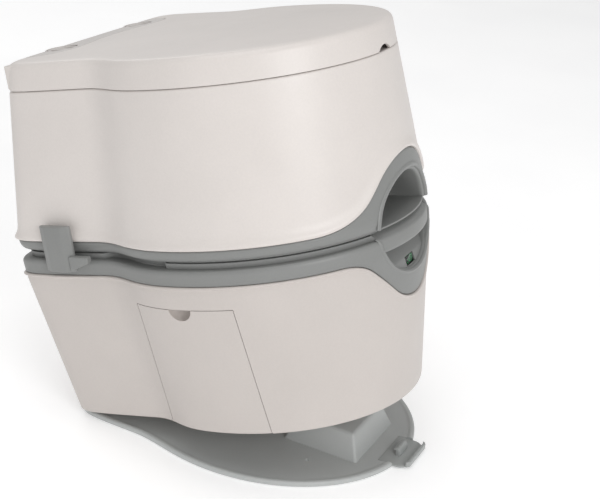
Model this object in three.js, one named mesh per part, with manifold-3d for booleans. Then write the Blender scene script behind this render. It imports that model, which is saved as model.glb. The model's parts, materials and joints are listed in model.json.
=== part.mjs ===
// Portable camp toilet: a white waste tank and flush-water tank stacked on a grey floor plate.
// Millimetres, +Z up, user's front at -Y. The origin is on the underside of the floor plate,
// below the centre of the oval body. The toilet stands tipped back on the plate's rear hooks.
import * as THREE from 'three';
import { mergeVertices } from 'three/addons/utils/BufferGeometryUtils.js';
import Module from 'manifold-3d';

const wasm = await Module();
wasm.setup();

// ---------- driving dimensions: body outline at the seam between the two tanks ----------
const HALF_WIDTH = 194.1;
const FRONT_REACH = 226.5;
const OVAL_REAR = 165.1; // rear half of the oval, which the rear box overlaps
const BOX_HALF_WIDTH = 179;
const BOX_FLARE = 0.1; // the rear box widens towards the rear, mm per mm
const BOX_FLARE_Y = 140;
const REAR_REACH = 223.5;
const CREASE_BLEND = 14;

// ---------- heights above the underside of the waste tank ----------
const TANK_TOP = 197.8;
const LOWER_BAND_TOP = 216;
const NECK_TOP = 222;
const UPPER_BAND_BOTTOM = 226;
const SHELL_BOTTOM = 239;
const LID_SEAM = 415.8;
const LID_RIM = 447.6;
const LID_CROWN = 451;

// How far each side leans in at the lid's rim and at the underside of the waste tank.
const LEAN_TOP = { side: 20.4, front: 18.1, rear: 24, box: 16.9 };
const LEAN_BOTTOM = { side: 32.3, front: 27.3, rear: 20, box: 27.4 };

const WALL = 3.5;
const GAP = 0.4; // clearance between touching pieces
// Directions of the outline's points, in degrees from the rear: closer together round the rear corner.
const REAR_TURNS = [12, 24, 31, 34.5, 36.5, 38.5, 41, 45, 51, 58, 66, 76];
const FRONT_STEPS = 8;

// ---------- front eye: the grey recess across both tanks ----------
const EYE = { x: 68, z: 62, centreZ: 222 };
const ARCH = { crown: 303, radius: 80, flank: 90, base: SHELL_BOTTOM };
const LOBE = { crown: 131, radius: 62, flank: 49, base: TANK_TOP };
const FACE_SKIN = 4;
const CARRY_DEPTH_Y = -158;
const CARRY_FLOOR = 228.6;
const POCKET_WALL = 3;
const POCKET = { lowZ: 160, lowY: -214.5, highZ: 203, highY: -187 };

// ---------- bowl and valve ----------
const OUTLET = { y: -5, radius: 50 };
const BOWL = { y: -32, halfWidth: 128, halfDepth: 142, rim: 12, wall: 3 };
const VALVE = { half: 70, front: -150, rear: 75, floor: 198.2, slot: 203.6, roof: 207.6, top: 211.6 };
const BLADE_FRONT = -65;
const HANDLE = { room: 1.2, face: 1.2, deep: 16, stem: -195.4, low: 199.4, high: 217.4, back: 224.4 };

const FLOAT = { y: -184, z: 170.4, pin: 2, ballY: -104, ballZ: 150, ball: 11 };
const SPOUT = { y: 151, z: 192, outer: 19, bore: 16, capEnd: -70, neckX: 72 };
const VENT = { x: -75, y: 88 };

// ---------- lid, seat and rear deck ----------
const PIVOT = { y: 190.5, z: 424.5, pin: 2.2, ear: 4.8, heel: 8.3 };
const DECK_HALF = 127;
const SEAT = { low: 419, high: 436, halfWidth: 118, halfDepth: 132, y: -30 };
const CAP = { x: -78, y: 176, radius: 18, neck: 14 };
const PUMP = { x: 78, y: 176, radius: 17, barrel: 13 };

// ---------- paper compartment, on the side of the waste tank ----------
const DOOR = { rearTop: 52, rearLow: 54, frontTop: -78, frontLow: -85, top: 168.5, low: 2, y: -13 };
const DOOR_SKIN = 2.6;
const DOOR_PIN = { x: -156.5, z: 6, radius: 1.5, y: -12 };
const NICHE_DEPTH_X = -67;
const ROLL_ROD = 6;
const ROLL = { x: -119.5, z: 106, radius: 47.5, core: 20, half: 48 };

// ---------- floor plate and docking ----------
const PLATE = { width: 163.3, front: 192.5, ovalRear: 196, box: 146.6, rear: 208.9, y: 2.2 };
const PLATE_RIM = 7;
const PLATE_FLOOR = 3;
const DOCK_GAP = 0.6;
const BOSS = { half: 55, front: -149, rear: -45, height: 34, draft: 13 };
const DOCK = { y: 200, z: 4, pin: 2.5, lug: 6.5, x: 70, width: 20 };
const SCREW_HOLES = [[-80, -94], [80, -94], [-80, 112], [80, 112]];
const LEVER = { half: 32, front: -207, rear: -168 };
const TIPPED_BACK = THREE.MathUtils.degToRad(12.71);

// ---------- side latches ----------
const LATCH = { low: 206, high: 262, front: 126, rear: 167, wall: 184, out: 194 };
const LATCH_PIN = { x: 188.6, y: 162.5, radius: 1.6, bore: 2 };
const KNUCKLE = { low: 228, high: 237, radius: 4.6, root: 176 };

// ---------- colours ----------
const WHITE = { color: 0xd6ccc6, roughness: 0.35 };
const TRIM = { color: 0x80868a, roughness: 0.5 };
const PLATE_GREY = { color: 0x8d9294, roughness: 0.55 };
const RUBBER = { color: 0x2a2b2c, roughness: 0.8 };
const STEEL = { color: 0xb8babc, roughness: 0.3, metalness: 1 };
const GREEN = { color: 0x0c6b3c, roughness: 0.5 };
const PAPER = { color: 0xeeeae2, roughness: 0.95 };

// ---------- solids ----------
function solid(geometry) {
  const bare = geometry.index ? geometry.toNonIndexed() : geometry.clone();
  bare.deleteAttribute('normal');
  bare.deleteAttribute('uv');
  const merged = mergeVertices(bare, 1e-4);
  const mesh = new wasm.Mesh({
    numProp: 3,
    vertProperties: merged.attributes.position.array,
    triVerts: new Uint32Array(merged.index.array),
  });
  return new wasm.Manifold(mesh);
}

function box(x0, x1, y0, y1, z0, z1) {
  const shape = new THREE.BoxGeometry(x1 - x0, y1 - y0, z1 - z0);
  return solid(shape.translate((x0 + x1) / 2, (y0 + y1) / 2, (z0 + z1) / 2));
}

// A box between two distances from the middle plane, on the left (side -1) or the right (side 1).
const sideBox = (side, near, far, ...rest) =>
  (side > 0 ? box(near, far, ...rest) : box(-far, -near, ...rest));

// Turns a shape drawn in one plane and pushed along the third axis into place.
const ACROSS = new THREE.Matrix4().makeBasis(
  new THREE.Vector3(0, 1, 0), new THREE.Vector3(0, 0, 1), new THREE.Vector3(1, 0, 0));
const ALONG = new THREE.Matrix4().makeBasis(
  new THREE.Vector3(0, 0, 1), new THREE.Vector3(1, 0, 0), new THREE.Vector3(0, 1, 0));

function extrude(points, low, high) {
  const shape = new THREE.Shape(points.map(([u, v]) => new THREE.Vector2(u, v)));
  return new THREE.ExtrudeGeometry(shape, { depth: high - low, bevelEnabled: false })
    .translate(0, 0, low);
}

const prismX = (yz, x0, x1) => solid(extrude(yz, x0, x1).applyMatrix4(ACROSS));
const prismY = (xz, y0, y1) => solid(extrude(xz.map(([x, z]) => [z, x]), y0, y1).applyMatrix4(ALONG));
const prismZ = (xy, z0, z1) => solid(extrude(xy, z0, z1));

// A round bar or disc. axis is 'x', 'y' or 'z', low and high its ends, u and v its centre.
function round(axis, radius, low, high, u, v, sides = 20) {
  const bar = new THREE.CylinderGeometry(radius, radius, high - low, sides);
  const middle = (low + high) / 2;
  if (axis === 'x') return solid(bar.rotateZ(-Math.PI / 2).translate(middle, u, v));
  if (axis === 'y') return solid(bar.translate(u, middle, v));
  return solid(bar.rotateX(Math.PI / 2).translate(u, v, middle));
}

const ring = (axis, outer, inner, low, high, u, v, sides = 20) =>
  round(axis, outer, low, high, u, v, sides).subtract(round(axis, inner, low - 1, high + 1, u, v, sides));

// Skins a stack of closed rings, each a list of [x, y, z] turning the same way.
function loft(rings) {
  const count = rings[0].length;
  const position = rings.flat(2);
  const index = [];
  const centre = (row) => row.reduce((sum, p) => sum.map((s, i) => s + p[i] / count), [0, 0, 0]);
  for (let k = 0; k + 1 < rings.length; k += 1) {
    for (let i = 0; i < count; i += 1) {
      const j = (i + 1) % count;
      const [a, b, c, d] = [k * count + i, k * count + j, (k + 1) * count + j, (k + 1) * count + i];
      index.push(a, b, c, a, c, d);
    }
  }
  const low = position.length / 3;
  position.push(...centre(rings[0]), ...centre(rings[rings.length - 1]));
  const last = (rings.length - 1) * count;
  for (let i = 0; i < count; i += 1) {
    const j = (i + 1) % count;
    index.push(low, j, i, low + 1, last + i, last + j);
  }
  const geometry = new THREE.BufferGeometry();
  geometry.setAttribute('position', new THREE.Float32BufferAttribute(position, 3));
  geometry.setIndex(index);
  return solid(geometry);
}

// ---------- the body's outline ----------
function lean(z) {
  const up = (z - SHELL_BOTTOM) / (448 - SHELL_BOTTOM);
  const down = (TANK_TOP - z) / TANK_TOP;
  const share = Math.max(up, down, 0);
  const most = up > 0 ? LEAN_TOP : LEAN_BOTTOM;
  return {
    side: most.side * share, front: most.front * share, rear: most.rear * share, box: most.box * share,
  };
}

// Distance from the oval's centre to the wall, in the direction (dx, dy).
function reach(dx, dy, body, inset) {
  const long = dy < 0 ? body.front : body.ovalRear;
  const oval = 1 / Math.hypot(dx / (body.width - inset), dy / (long - inset));
  if (dy <= 0) return oval;
  const spread = Math.max(Math.abs(dx) - body.flare * dy, 1e-3);
  const side = (body.box - inset - body.flare * BOX_FLARE_Y) / spread;
  const back = (body.rear - inset) / dy;
  const rear = (side ** -14 + back ** -14) ** (-1 / 14);
  const apart = Math.abs(oval - rear);
  const blend = apart < CREASE_BLEND ? (CREASE_BLEND - apart) ** 2 / (4 * CREASE_BLEND) : 0;
  return Math.max(oval, rear) + blend;
}

function ringTurns() {
  const front = Array.from({ length: FRONT_STEPS }, (_, i) => 90 + (90 * (i - 0.15)) / FRONT_STEPS);
  const side = [...REAR_TURNS, ...front];
  return [0, ...side, 180, ...side.reverse().map((turn) => 360 - turn)].map(THREE.MathUtils.degToRad);
}
const TURNS = ringTurns();

function outline(body, inset, z, centreY = 0) {
  return TURNS.map((turn) => {
    const [dx, dy] = [-Math.sin(turn), Math.cos(turn)];
    const r = reach(dx, dy, body, inset);
    return [r * dx, centreY + r * dy, z];
  });
}

function bodyRing(z, inset = 0) {
  const by = lean(z);
  const body = {
    width: HALF_WIDTH - by.side,
    front: FRONT_REACH - by.front,
    ovalRear: OVAL_REAR - by.side,
    box: BOX_HALF_WIDTH - by.box,
    rear: REAR_REACH - by.rear,
    flare: BOX_FLARE,
  };
  return outline(body, inset, z);
}

const bodySolid = (low, high, inset = 0) => loft([bodyRing(low, inset), bodyRing(high, inset)]);
const bodySkin = (low, high, thickness) =>
  bodySolid(low, high).subtract(bodySolid(low - 1, high + 1, thickness));

// ---------- the front eye ----------
// Half a contour from the crown at x = 0 out to the band: an arc, a slope at 45 degrees, an arc back.
function eyeSide({ crown, radius, flank, base }, sign, grow) {
  const steps = 4;
  const quarter = Math.PI / 4;
  const points = [];
  for (let i = 0; i <= steps; i += 1) {
    const a = (quarter * i) / steps;
    const along = (radius + grow) * Math.cos(a);
    points.push([(radius + grow) * Math.sin(a), crown + sign * (along - radius)]);
  }
  const height = Math.abs(crown - base);
  const run = radius * Math.SQRT1_2 + height - (radius + flank) * (1 - Math.SQRT1_2) + flank * Math.SQRT1_2;
  for (let i = 0; i <= steps; i += 1) {
    const a = quarter * (1 - i / steps);
    points.push([run - (flank - grow) * Math.sin(a), base + sign * (flank - (flank - grow) * Math.cos(a))]);
  }
  return points;
}

function eyePrism(contour, grow, y1) {
  const sign = Math.sign(contour.crown - contour.base);
  const half = eyeSide(contour, sign, grow);
  const end = half[half.length - 1];
  const past = contour.base - sign * 60;
  const right = [...half, [end[0], past]];
  const left = right.slice(1).reverse().map(([x, z]) => [-x, z]);
  return prismY([...right, ...left], -260, y1);
}

function ovalPrism(grow, y1) {
  const sides = 24;
  const points = Array.from({ length: sides }, (_, i) => {
    const a = (2 * Math.PI * i) / sides;
    return [(EYE.x + grow) * Math.cos(a), EYE.centreZ + (EYE.z + grow) * Math.sin(a)];
  });
  return prismY(points, -260, y1);
}

// Everything in front of the pocket's back wall, which leans back as it rises.
function beforePocket(back) {
  const slope = (POCKET.highY - POCKET.lowY) / (POCKET.highZ - POCKET.lowZ);
  const at = (z) => POCKET.lowY + slope * (z - POCKET.lowZ) + back;
  return prismX([[-260, 100], [at(100), 100], [at(POCKET.highZ), POCKET.highZ],
    [at(POCKET.highZ), 260], [-260, 260]], -150, 150);
}

// ---------- waste tank ----------
// The space the grey front trim needs, cut out of the tank's corner.
function trimRecess(grow, depth) {
  const front = eyePrism(LOBE, grow, -120);
  const behindFace = bodySolid(0, TANK_TOP, FACE_SKIN + depth);
  return front.subtract(behindFace).add(front.intersect(beforePocket(POCKET_WALL + depth)));
}

function frustum(grow, height) {
  const { half, front, rear, draft } = BOSS;
  const at = (inset, z) => [[-half - grow + inset, front - grow + inset, z],
    [half + grow - inset, front - grow + inset, z], [half + grow - inset, rear + grow - inset, z],
    [-half - grow + inset, rear + grow - inset, z]];
  return loft([at(0, 0), at(draft, height)]);
}

function doorPrism(shrink, x1) {
  const { rearTop, rearLow, frontTop, frontLow, top, low } = DOOR;
  return prismX([[frontLow + shrink, low - 10], [rearLow - shrink, low - 10],
    [rearTop - shrink, top - shrink], [frontTop + shrink, top - shrink]], -230, x1);
}

const bothSides = (make) => make(-1).add(make(1));

function dockBlock(side) {
  const x = side * DOCK.x;
  const half = DOCK.width / 2 + 5;
  return box(x - half, x + half, DOCK.y - 16, DOCK.y + 30, 0, 18).intersect(bodySolid(0, TANK_TOP));
}

function dockNotch(side) {
  const x = side * DOCK.x;
  const half = DOCK.width / 2 + 0.6;
  const sweep = DOCK.lug + 1.2;
  return round('x', sweep, x - half, x + half, DOCK.y, DOCK.z)
    .add(box(x - half, x + half, DOCK.y - sweep, DOCK.y + 30, -1, DOCK.z))
    .add(round('x', DOCK.pin + GAP, x - half - 4, x + half + 4, DOCK.y, DOCK.z));
}

function wasteTank() {
  const trough = (grow) => box(SPOUT.capEnd - 8 - grow, SPOUT.neckX + 26 + grow,
    SPOUT.y - 25 - grow, SPOUT.y + 25 + grow, SPOUT.z - 24 - grow, TANK_TOP + 1);
  const hollow = bodySolid(WALL, TANK_TOP - WALL, WALL)
    .subtract(trimRecess(GAP + WALL, GAP + WALL))
    .subtract(frustum(7 + WALL, BOSS.height + 6 + WALL))
    .subtract(trough(WALL))
    .subtract(bothSides(dockBlock))
    .subtract(catchHousing());
  const cheek = (side) =>
    sideBox(side, 11.8, 15.3, -203, FLOAT.y + 4, FLOAT.z - 5, FLOAT.z + 5);
  return bodySolid(0, TANK_TOP)
    .subtract(hollow)
    .add(bothSides(cheek).subtract(round('x', FLOAT.pin + GAP, -20, 20, FLOAT.y, FLOAT.z)))
    .subtract(trimRecess(GAP, GAP))
    .subtract(frustum(7, BOSS.height + 6).translate([0, 0, -0.5]))
    .subtract(trough(0))
    .subtract(bothSides(dockNotch))
    .subtract(doorPrism(0, -120))
    .subtract(windowPrism(GAP))
    .subtract(catchNotch())
    .subtract(round('z', OUTLET.radius, 180, 210, 0, OUTLET.y, 28))
    .subtract(round('z', SPOUT.outer + GAP, 150, 180, SPOUT.neckX, SPOUT.y))
    .subtract(round('z', 4.4, 180, 210, VENT.x, VENT.y));
}

const windowPrism = (grow) =>
  box(-11.2 - grow, 11.2 + grow, -210.8, -199.5, FLOAT.z - 5.2 - grow, FLOAT.z + 5.2 + grow);

// Where the release lever's barb enters the tank's front edge.
const catchNotch = () => box(-16, 16, -193.4, -180, -1, 9).add(box(-16, 16, -181, -175, 3.5, 9));
const catchHousing = () => box(-19, 19, -205, -172, 0, 12);

function lowerTrim() {
  const eye = eyePrism(LOBE, 0, -120);
  const pocket = ovalPrism(0, -120).intersect(beforePocket(0));
  const face = bodySkin(100, TANK_TOP, FACE_SKIN).add(bodySkin(TANK_TOP - 0.1, NECK_TOP + 1, FACE_SKIN));
  const cup = ovalPrism(POCKET_WALL, -120)
    .intersect(beforePocket(POCKET_WALL))
    .intersect(bodySolid(100, TANK_TOP, 1).add(bodySolid(TANK_TOP - 0.1, NECK_TOP + 1, 1)));
  const band = bodySkin(TANK_TOP + GAP, LOWER_BAND_TOP, FACE_SKIN);
  const ledge = bodySkin(LOWER_BAND_TOP - 3, LOWER_BAND_TOP, 12);
  const neck = bodySolid(LOWER_BAND_TOP - 1, NECK_TOP, 8)
    .subtract(bodySolid(LOWER_BAND_TOP - 5, NECK_TOP + 1, 12));
  const rodWay = box(-20, 20, -192, -176, 202.5, 230);
  const slot = (side) => sideBox(side, 160, 200, 0, 97, LOWER_BAND_TOP, NECK_TOP + 5);
  const hookNotch = (side) => sideBox(side, 172, 190, 128, 147, 208, LOWER_BAND_TOP + 1);
  return face.intersect(eye).add(cup).add(band).add(ledge).add(neck)
    .subtract(pocket)
    .subtract(rodWay)
    .subtract(windowPrism(GAP))
    .subtract(bothSides(slot))
    .subtract(bothSides(hookNotch));
}

function paperNiche() {
  const [y0, y1, z0, z1] = [DOOR.frontLow - 3, DOOR.rearLow + 4, 6.5, DOOR.top + 2.5];
  const shell = box(-200, NICHE_DEPTH_X, y0 - 2.5, y1 + 2.5, z0 - 2.5, z1 + 2.5)
    .subtract(box(-201, NICHE_DEPTH_X - 2.5, y0, y1, z0, z1))
    .intersect(bodySolid(WALL + 0.5, TANK_TOP - WALL - 0.5, WALL + GAP));
  const sillCut = box(-170, -138, y0 + 0.5, y1 - 0.5, 0, z0 + 2);
  const lug = (low) => round('y', 2.8, low, low + 9, DOOR_PIN.x, DOOR_PIN.z, 16)
    .add(box(DOOR_PIN.x, -136, low, low + 9, z0 - 2.5, DOOR_PIN.z + 2.4));
  const sockets = round('y', ROLL_ROD + GAP, y0 - 1.5, y1 + 1.5, ROLL.x, ROLL.z);
  return shell.subtract(sillCut).subtract(sockets)
    .add(lug(DOOR_PIN.y - 20)).add(lug(DOOR_PIN.y + 11))
    .subtract(doorPinBar(DOOR_PIN.radius + GAP, 21));
}

const doorPinBar = (radius, half) =>
  round('y', radius, DOOR_PIN.y - half, DOOR_PIN.y + half, DOOR_PIN.x, DOOR_PIN.z, 14);

function paperDoor() {
  const skin = bodySkin(0, TANK_TOP, DOOR_SKIN).intersect(doorPrism(1, -120))
    .subtract(box(-230, -120, -120, 120, -10, DOOR.low));
  const finger = round('x', 14.5, -230, -120, DOOR.y, DOOR.top);
  const lugRoom = (low) => box(-160.4, -140, low - 0.6, low + 9.6, 0, DOOR_PIN.z + 3.6);
  const knuckle = doorPinBar(3.2, 10)
    .add(box(-161, DOOR_PIN.x, DOOR_PIN.y - 10, DOOR_PIN.y + 10, DOOR.low + 1, DOOR_PIN.z + 3));
  return skin
    .subtract(finger)
    .subtract(lugRoom(DOOR_PIN.y - 20))
    .subtract(lugRoom(DOOR_PIN.y + 11))
    .add(knuckle)
    .subtract(doorPinBar(DOOR_PIN.radius + GAP, 21));
}

const paperRoll = () =>
  ring('y', ROLL.radius, ROLL.core, DOOR.y - ROLL.half, DOOR.y + ROLL.half, ROLL.x, ROLL.z, 24);

function pourSpout() {
  const { y, z, outer, bore, capEnd, neckX } = SPOUT;
  return round('x', outer, capEnd, neckX, y, z)
    .add(round('z', outer, 152, z + outer * 0.6, neckX, y))
    .add(ring('x', outer + 2.5, outer - 1, capEnd + 26, capEnd + 29, y, z))
    .subtract(round('x', bore, capEnd - 1, neckX, y, z))
    .subtract(round('z', bore, 151, z + 5, neckX, y));
}

function spoutCap() {
  const { y, z, outer, capEnd } = SPOUT;
  return ring('x', outer + 3, outer + GAP, capEnd - 3.4, capEnd + 20, y, z)
    .add(round('x', outer + 1, capEnd - 6, capEnd - 3, y, z));
}

function spoutSeal() {
  const { y, z, outer, bore, capEnd } = SPOUT;
  return ring('x', outer - 0.6, bore, capEnd - 2.6, capEnd - 0.4, y, z);
}

// ---------- valve between the tanks ----------
const outletRing = (outer, inner, low, high) =>
  ring('z', OUTLET.radius + outer, OUTLET.radius + inner, low, high, 0, OUTLET.y, 28);

function valveBase() {
  const { half, front, rear, floor, slot, roof } = VALVE;
  return box(-half, half, front, rear, floor, roof)
    .subtract(box(-half + 11.4, half - 11.4, front - 1, rear - 8, slot, roof + 1))
    .subtract(round('z', OUTLET.radius, floor - 1, roof + 1, 0, OUTLET.y, 28))
    .subtract(round('z', OUTLET.radius + 5.4, slot - 3.2, roof, 0, OUTLET.y, 28));
}

function valveCover() {
  const { half, front, rear, roof, top } = VALVE;
  return box(-half, half, front, rear, roof + GAP, top)
    .subtract(round('z', OUTLET.radius, roof, top + 1, 0, OUTLET.y, 28));
}

function valveBlade() {
  const [low, high] = [VALVE.slot + GAP, VALVE.roof - GAP];
  return box(-58, 58, BLADE_FRONT, VALVE.rear - 12, low, high)
    .add(box(-15, 15, HANDLE.stem + GAP, BLADE_FRONT + 1, low, high));
}

function bladeHandle() {
  const { room, face, deep, stem, low, high, back } = HANDLE;
  const bar = loft([bodyRing(low, face + 3), bodyRing(low + 2.5, face), bodyRing(high - 1.5, face),
    bodyRing(high, face + 2), bodyRing(back, deep - 3)])
    .intersect(ovalPrism(-room, -150))
    .subtract(bodySolid(low - 1, back + 1, deep));
  const slot = VALVE.slot + GAP;
  return bar.add(box(-18, 18, -213, stem, slot, slot + 8));
}

// ---------- level float ----------
function floatLever() {
  const { y, z, pin, ballY, ballZ, ball } = FLOAT;
  const arm = prismX([[y, z + 3], [y, z - 3], [ballY, ballZ - 2], [ballY, ballZ + 2]], -2.5, 2.5);
  return ring('x', 5.5, pin + GAP, -10.5, 10.5, y, z, 16)
    .add(box(-7, 7, y - 10, y - 4, z - 2, z + 2))
    .add(arm.subtract(round('x', pin + GAP, -20, 20, y, z)))
    .add(round('x', ball, -24, 24, ballY, ballZ, 20));
}

// ---------- flush tank ----------
function upperShell() {
  const opening = ellipse(BOWL.halfWidth + 1, BOWL.halfDepth + 1, BOWL.y, 400, 430);
  return bodySkin(SHELL_BOTTOM + GAP, LID_SEAM - GAP, WALL)
    .add(bodySolid(LID_SEAM - GAP - WALL, LID_SEAM - GAP, 1))
    .subtract(opening)
    .subtract(eyePrism(ARCH, GAP, -120))
    .subtract(round('z', CAP.neck + GAP, 400, 430, CAP.x, CAP.y))
    .subtract(round('z', PUMP.barrel + GAP, 400, 430, PUMP.x, PUMP.y));
}

function ellipse(halfX, halfY, y, low, high) {
  const row = (z) => ovalRow(halfX, halfY, y, z);
  return loft([row(low), row(high)]);
}

function ovalRow(halfX, halfY, y, z) {
  const sides = 28;
  return Array.from({ length: sides }, (_, i) => {
    const a = (2 * Math.PI * i) / sides;
    return [halfX * Math.cos(a), y + halfY * Math.sin(a), z];
  });
}

// The lug on the flush tank's band that carries a latch's pin.
function latchKnuckle(side) {
  const { low, high, radius, root } = KNUCKLE;
  return round('z', radius, low, high, side * LATCH_PIN.x, LATCH_PIN.y, 14)
    .add(sideBox(side, root, LATCH_PIN.x, LATCH_PIN.y - radius, LATCH_PIN.y + radius, low, high))
    .subtract(round('z', LATCH_PIN.bore, low - 1, high + 1, side * LATCH_PIN.x, LATCH_PIN.y, 14));
}

function upperTrim() {
  const eye = eyePrism(ARCH, 0, -120);
  const rise = (inset) => loft([bodyRing(UPPER_BAND_BOTTOM, 5 + inset), bodyRing(233, 1 + inset),
    bodyRing(SHELL_BOTTOM, inset)]);
  const band = rise(0).subtract(rise(FACE_SKIN).translate([0, 0, -0.01]))
    .subtract(box(-260, 260, -260, 260, SHELL_BOTTOM - 0.1, 260));
  const ledge = bodySolid(UPPER_BAND_BOTTOM, UPPER_BAND_BOTTOM + 3, 6)
    .add(bodySolid(NECK_TOP + 1.6, UPPER_BAND_BOTTOM + 1, 9.5))
    .subtract(bodySolid(220, 240, 14));
  const face = bodySkin(NECK_TOP + 2, SHELL_BOTTOM, FACE_SKIN)
    .add(bodySkin(SHELL_BOTTOM - 0.1, 320, FACE_SKIN)).intersect(eye);
  const hand = ovalPrism(0, CARRY_DEPTH_Y).intersect(box(-100, 100, -260, 0, CARRY_FLOOR, 320));
  const cup = ovalPrism(POCKET_WALL, CARRY_DEPTH_Y + POCKET_WALL)
    .intersect(box(-100, 100, -260, 0, CARRY_FLOOR - 2.4, 320))
    .intersect(bodySolid(220, SHELL_BOTTOM, 1).add(bodySolid(SHELL_BOTTOM - 0.1, 320, 1)));
  const barRoom = ovalPrism(0, -180).intersect(box(-100, 100, -260, 0, 215, CARRY_FLOOR - 2.4));
  return band.add(ledge).add(face).add(cup)
    .add(bothSides(latchKnuckle))
    .subtract(hand)
    .subtract(barRoom);
}

const flushFloor = () => bodySolid(231.5, 235, 7.5)
  .subtract(ovalPrism(POCKET_WALL + GAP, CARRY_DEPTH_Y + POCKET_WALL + GAP))
  .subtract(eyePrism(ARCH, GAP, -120).subtract(bodySolid(220, SHELL_BOTTOM, 7.5)))
  .subtract(round('z', OUTLET.radius + BOWL.wall + GAP, 220, 240, 0, OUTLET.y, 28));

function bowl() {
  const side = (inset) => [
    ovalRow(OUTLET.radius + BOWL.wall - inset, OUTLET.radius + BOWL.wall - inset, OUTLET.y, 217 - inset),
    ovalRow(OUTLET.radius + BOWL.wall - inset, OUTLET.radius + BOWL.wall - inset, OUTLET.y, 244),
    ovalRow(88 - inset, 94 - inset, -13, 300),
    ovalRow(112 - inset, 124 - inset, -24, 365),
    ovalRow(BOWL.halfWidth - inset, BOWL.halfDepth - inset, BOWL.y, 412 + inset * 3),
  ];
  const { halfWidth, halfDepth, rim, y } = BOWL;
  const flange = ellipse(halfWidth + rim, halfDepth + rim, y, LID_SEAM, LID_SEAM + 2.4);
  return loft(side(0)).add(flange)
    .add(ellipse(BOWL.halfWidth, BOWL.halfDepth, BOWL.y, 411, LID_SEAM + 1))
    .subtract(loft(side(BOWL.wall)));
}

// ---------- top: deck, seat and lid ----------
const topShape = (inset, seam, rim, crown) => loft([
  bodyRing(seam, inset), bodyRing(rim - 7, inset), bodyRing(rim - 2.5, inset + 2),
  bodyRing(rim, inset + 6), bodyRing(rim + (crown - rim) * 0.6, inset + 50), bodyRing(crown, inset + 120)]);

// The line between lid and deck, from the middle out to the deck's side, then off the rear edge.
function deckLine(grow) {
  const side = [[0, 161], [28, 159], [56, 153], [84, 149.5], [106, 154], [120, 165],
    [DECK_HALF, 184], [DECK_HALF, 240]];
  const shift = ([x, y], i) => (i > 5 ? [x + grow, y] : [x + grow * Math.min(x / 84, 1), y - grow]);
  const right = side.map(shift);
  const left = right.slice(1).reverse().map(([x, y]) => [-x, y]);
  return [...right, ...left];
}

const deckPrism = (grow) => prismZ(deckLine(grow), 400, 470);

// The deck's top edge is chamfered, so that the lid's edge swings back over it.
function deckEdge() {
  const at = (grow, z) => deckLine(grow).map(([x, y]) => [x, y, z]);
  return loft([at(0, 400), at(0, 444), at(-4, 449.5), at(-4, 470)]);
}

// A flat round knob with two pockets in its top, either side of a bar for the fingers.
function gripDisc({ x, y, radius }, low, high) {
  const pockets = round('z', radius - 3, high - 4, high + 1, x, y)
    .subtract(box(x - 3, x + 3, y - radius, y + radius, high - 5, high + 2));
  return round('z', radius, low, high, x, y).subtract(pockets);
}

const hingeBore = (radius, low, high, side) =>
  round('x', radius, side > 0 ? low : -high, side > 0 ? high : -low, PIVOT.y, PIVOT.z, 14);

function rearDeck() {
  const outer = topShape(0, LID_SEAM, LID_RIM, LID_CROWN).intersect(deckEdge());
  const inner = topShape(WALL, LID_SEAM - 1, LID_RIM - 3.5, LID_CROWN - 3.5).intersect(deckPrism(-WALL));
  const holes = round('z', CAP.radius + 0.8, 440, 470, CAP.x, CAP.y)
    .add(round('z', CAP.neck + GAP, 410, 470, CAP.x, CAP.y))
    .add(round('z', PUMP.radius + 0.8, 433, 470, PUMP.x, PUMP.y))
    .add(round('z', PUMP.barrel + GAP, 410, 470, PUMP.x, PUMP.y));
  const wells = round('z', CAP.radius + 3.5, 438, 446, CAP.x, CAP.y)
    .add(round('z', PUMP.radius + 3.5, 430, 446, PUMP.x, PUMP.y));
  const bores = bothSides((side) => hingeBore(PIVOT.pin + GAP, 110, 135, side));
  return outer.subtract(inner)
    .add(wells.intersect(outer))
    .subtract(holes)
    .subtract(bores);
}

function lid() {
  const outer = topShape(0, LID_SEAM + GAP, LID_RIM, LID_CROWN);
  const inner = topShape(WALL, LID_SEAM - 1, LID_RIM - WALL, LID_CROWN - WALL);
  const lug = (side) =>
    sideBox(side, 151, 162, PIVOT.y - 8, PIVOT.y + 7, LID_SEAM + 1, LID_RIM - 3).intersect(outer);
  const fingers = round('y', 20, -240, -190, 0, LID_SEAM - 13);
  const behindPivot = box(-200, 200, PIVOT.y, 230, LID_SEAM - 5, PIVOT.z)
    .subtract(round('x', PIVOT.heel, -200, 200, PIVOT.y, PIVOT.z))
    .add(box(-200, 200, PIVOT.y + PIVOT.heel, 230, LID_SEAM - 5, 470));
  const earRoom = (side) => sideBox(side, 128, 147, 170, PIVOT.y + 6.2, LID_SEAM - 1, PIVOT.z + 6);
  return outer.subtract(inner).add(bothSides(lug))
    .subtract(bothSides(earRoom))
    .subtract(deckPrism(1.2))
    .subtract(fingers)
    .subtract(behindPivot)
    .subtract(bothSides((side) => hingeBore(PIVOT.pin + GAP, 130, 159, side)));
}

function seat() {
  const body = loft([bodyRing(SEAT.low, 9), bodyRing(SEAT.high - 4, 8), bodyRing(SEAT.high, 14)])
    .subtract(box(-200, 200, 138, 300, 400, 450));
  const hole = loft([ovalRow(SEAT.halfWidth, SEAT.halfDepth, SEAT.y, SEAT.low - 1),
    ovalRow(SEAT.halfWidth + 7, SEAT.halfDepth + 7, SEAT.y, SEAT.high + 1)]);
  const ear = (side) => sideBox(side, 132, 143, 130, PIVOT.y, SEAT.low + 1, PIVOT.z + PIVOT.ear)
    .add(hingeBore(PIVOT.ear, 132, 143, side));
  return body.subtract(hole).add(bothSides(ear))
    .subtract(bothSides((side) => hingeBore(PIVOT.pin + GAP, 130, 150, side)));
}

const bumper = (radius, low, high, x, y) => round('z', radius, low + GAP, high - GAP, x, y, 12);

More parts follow.
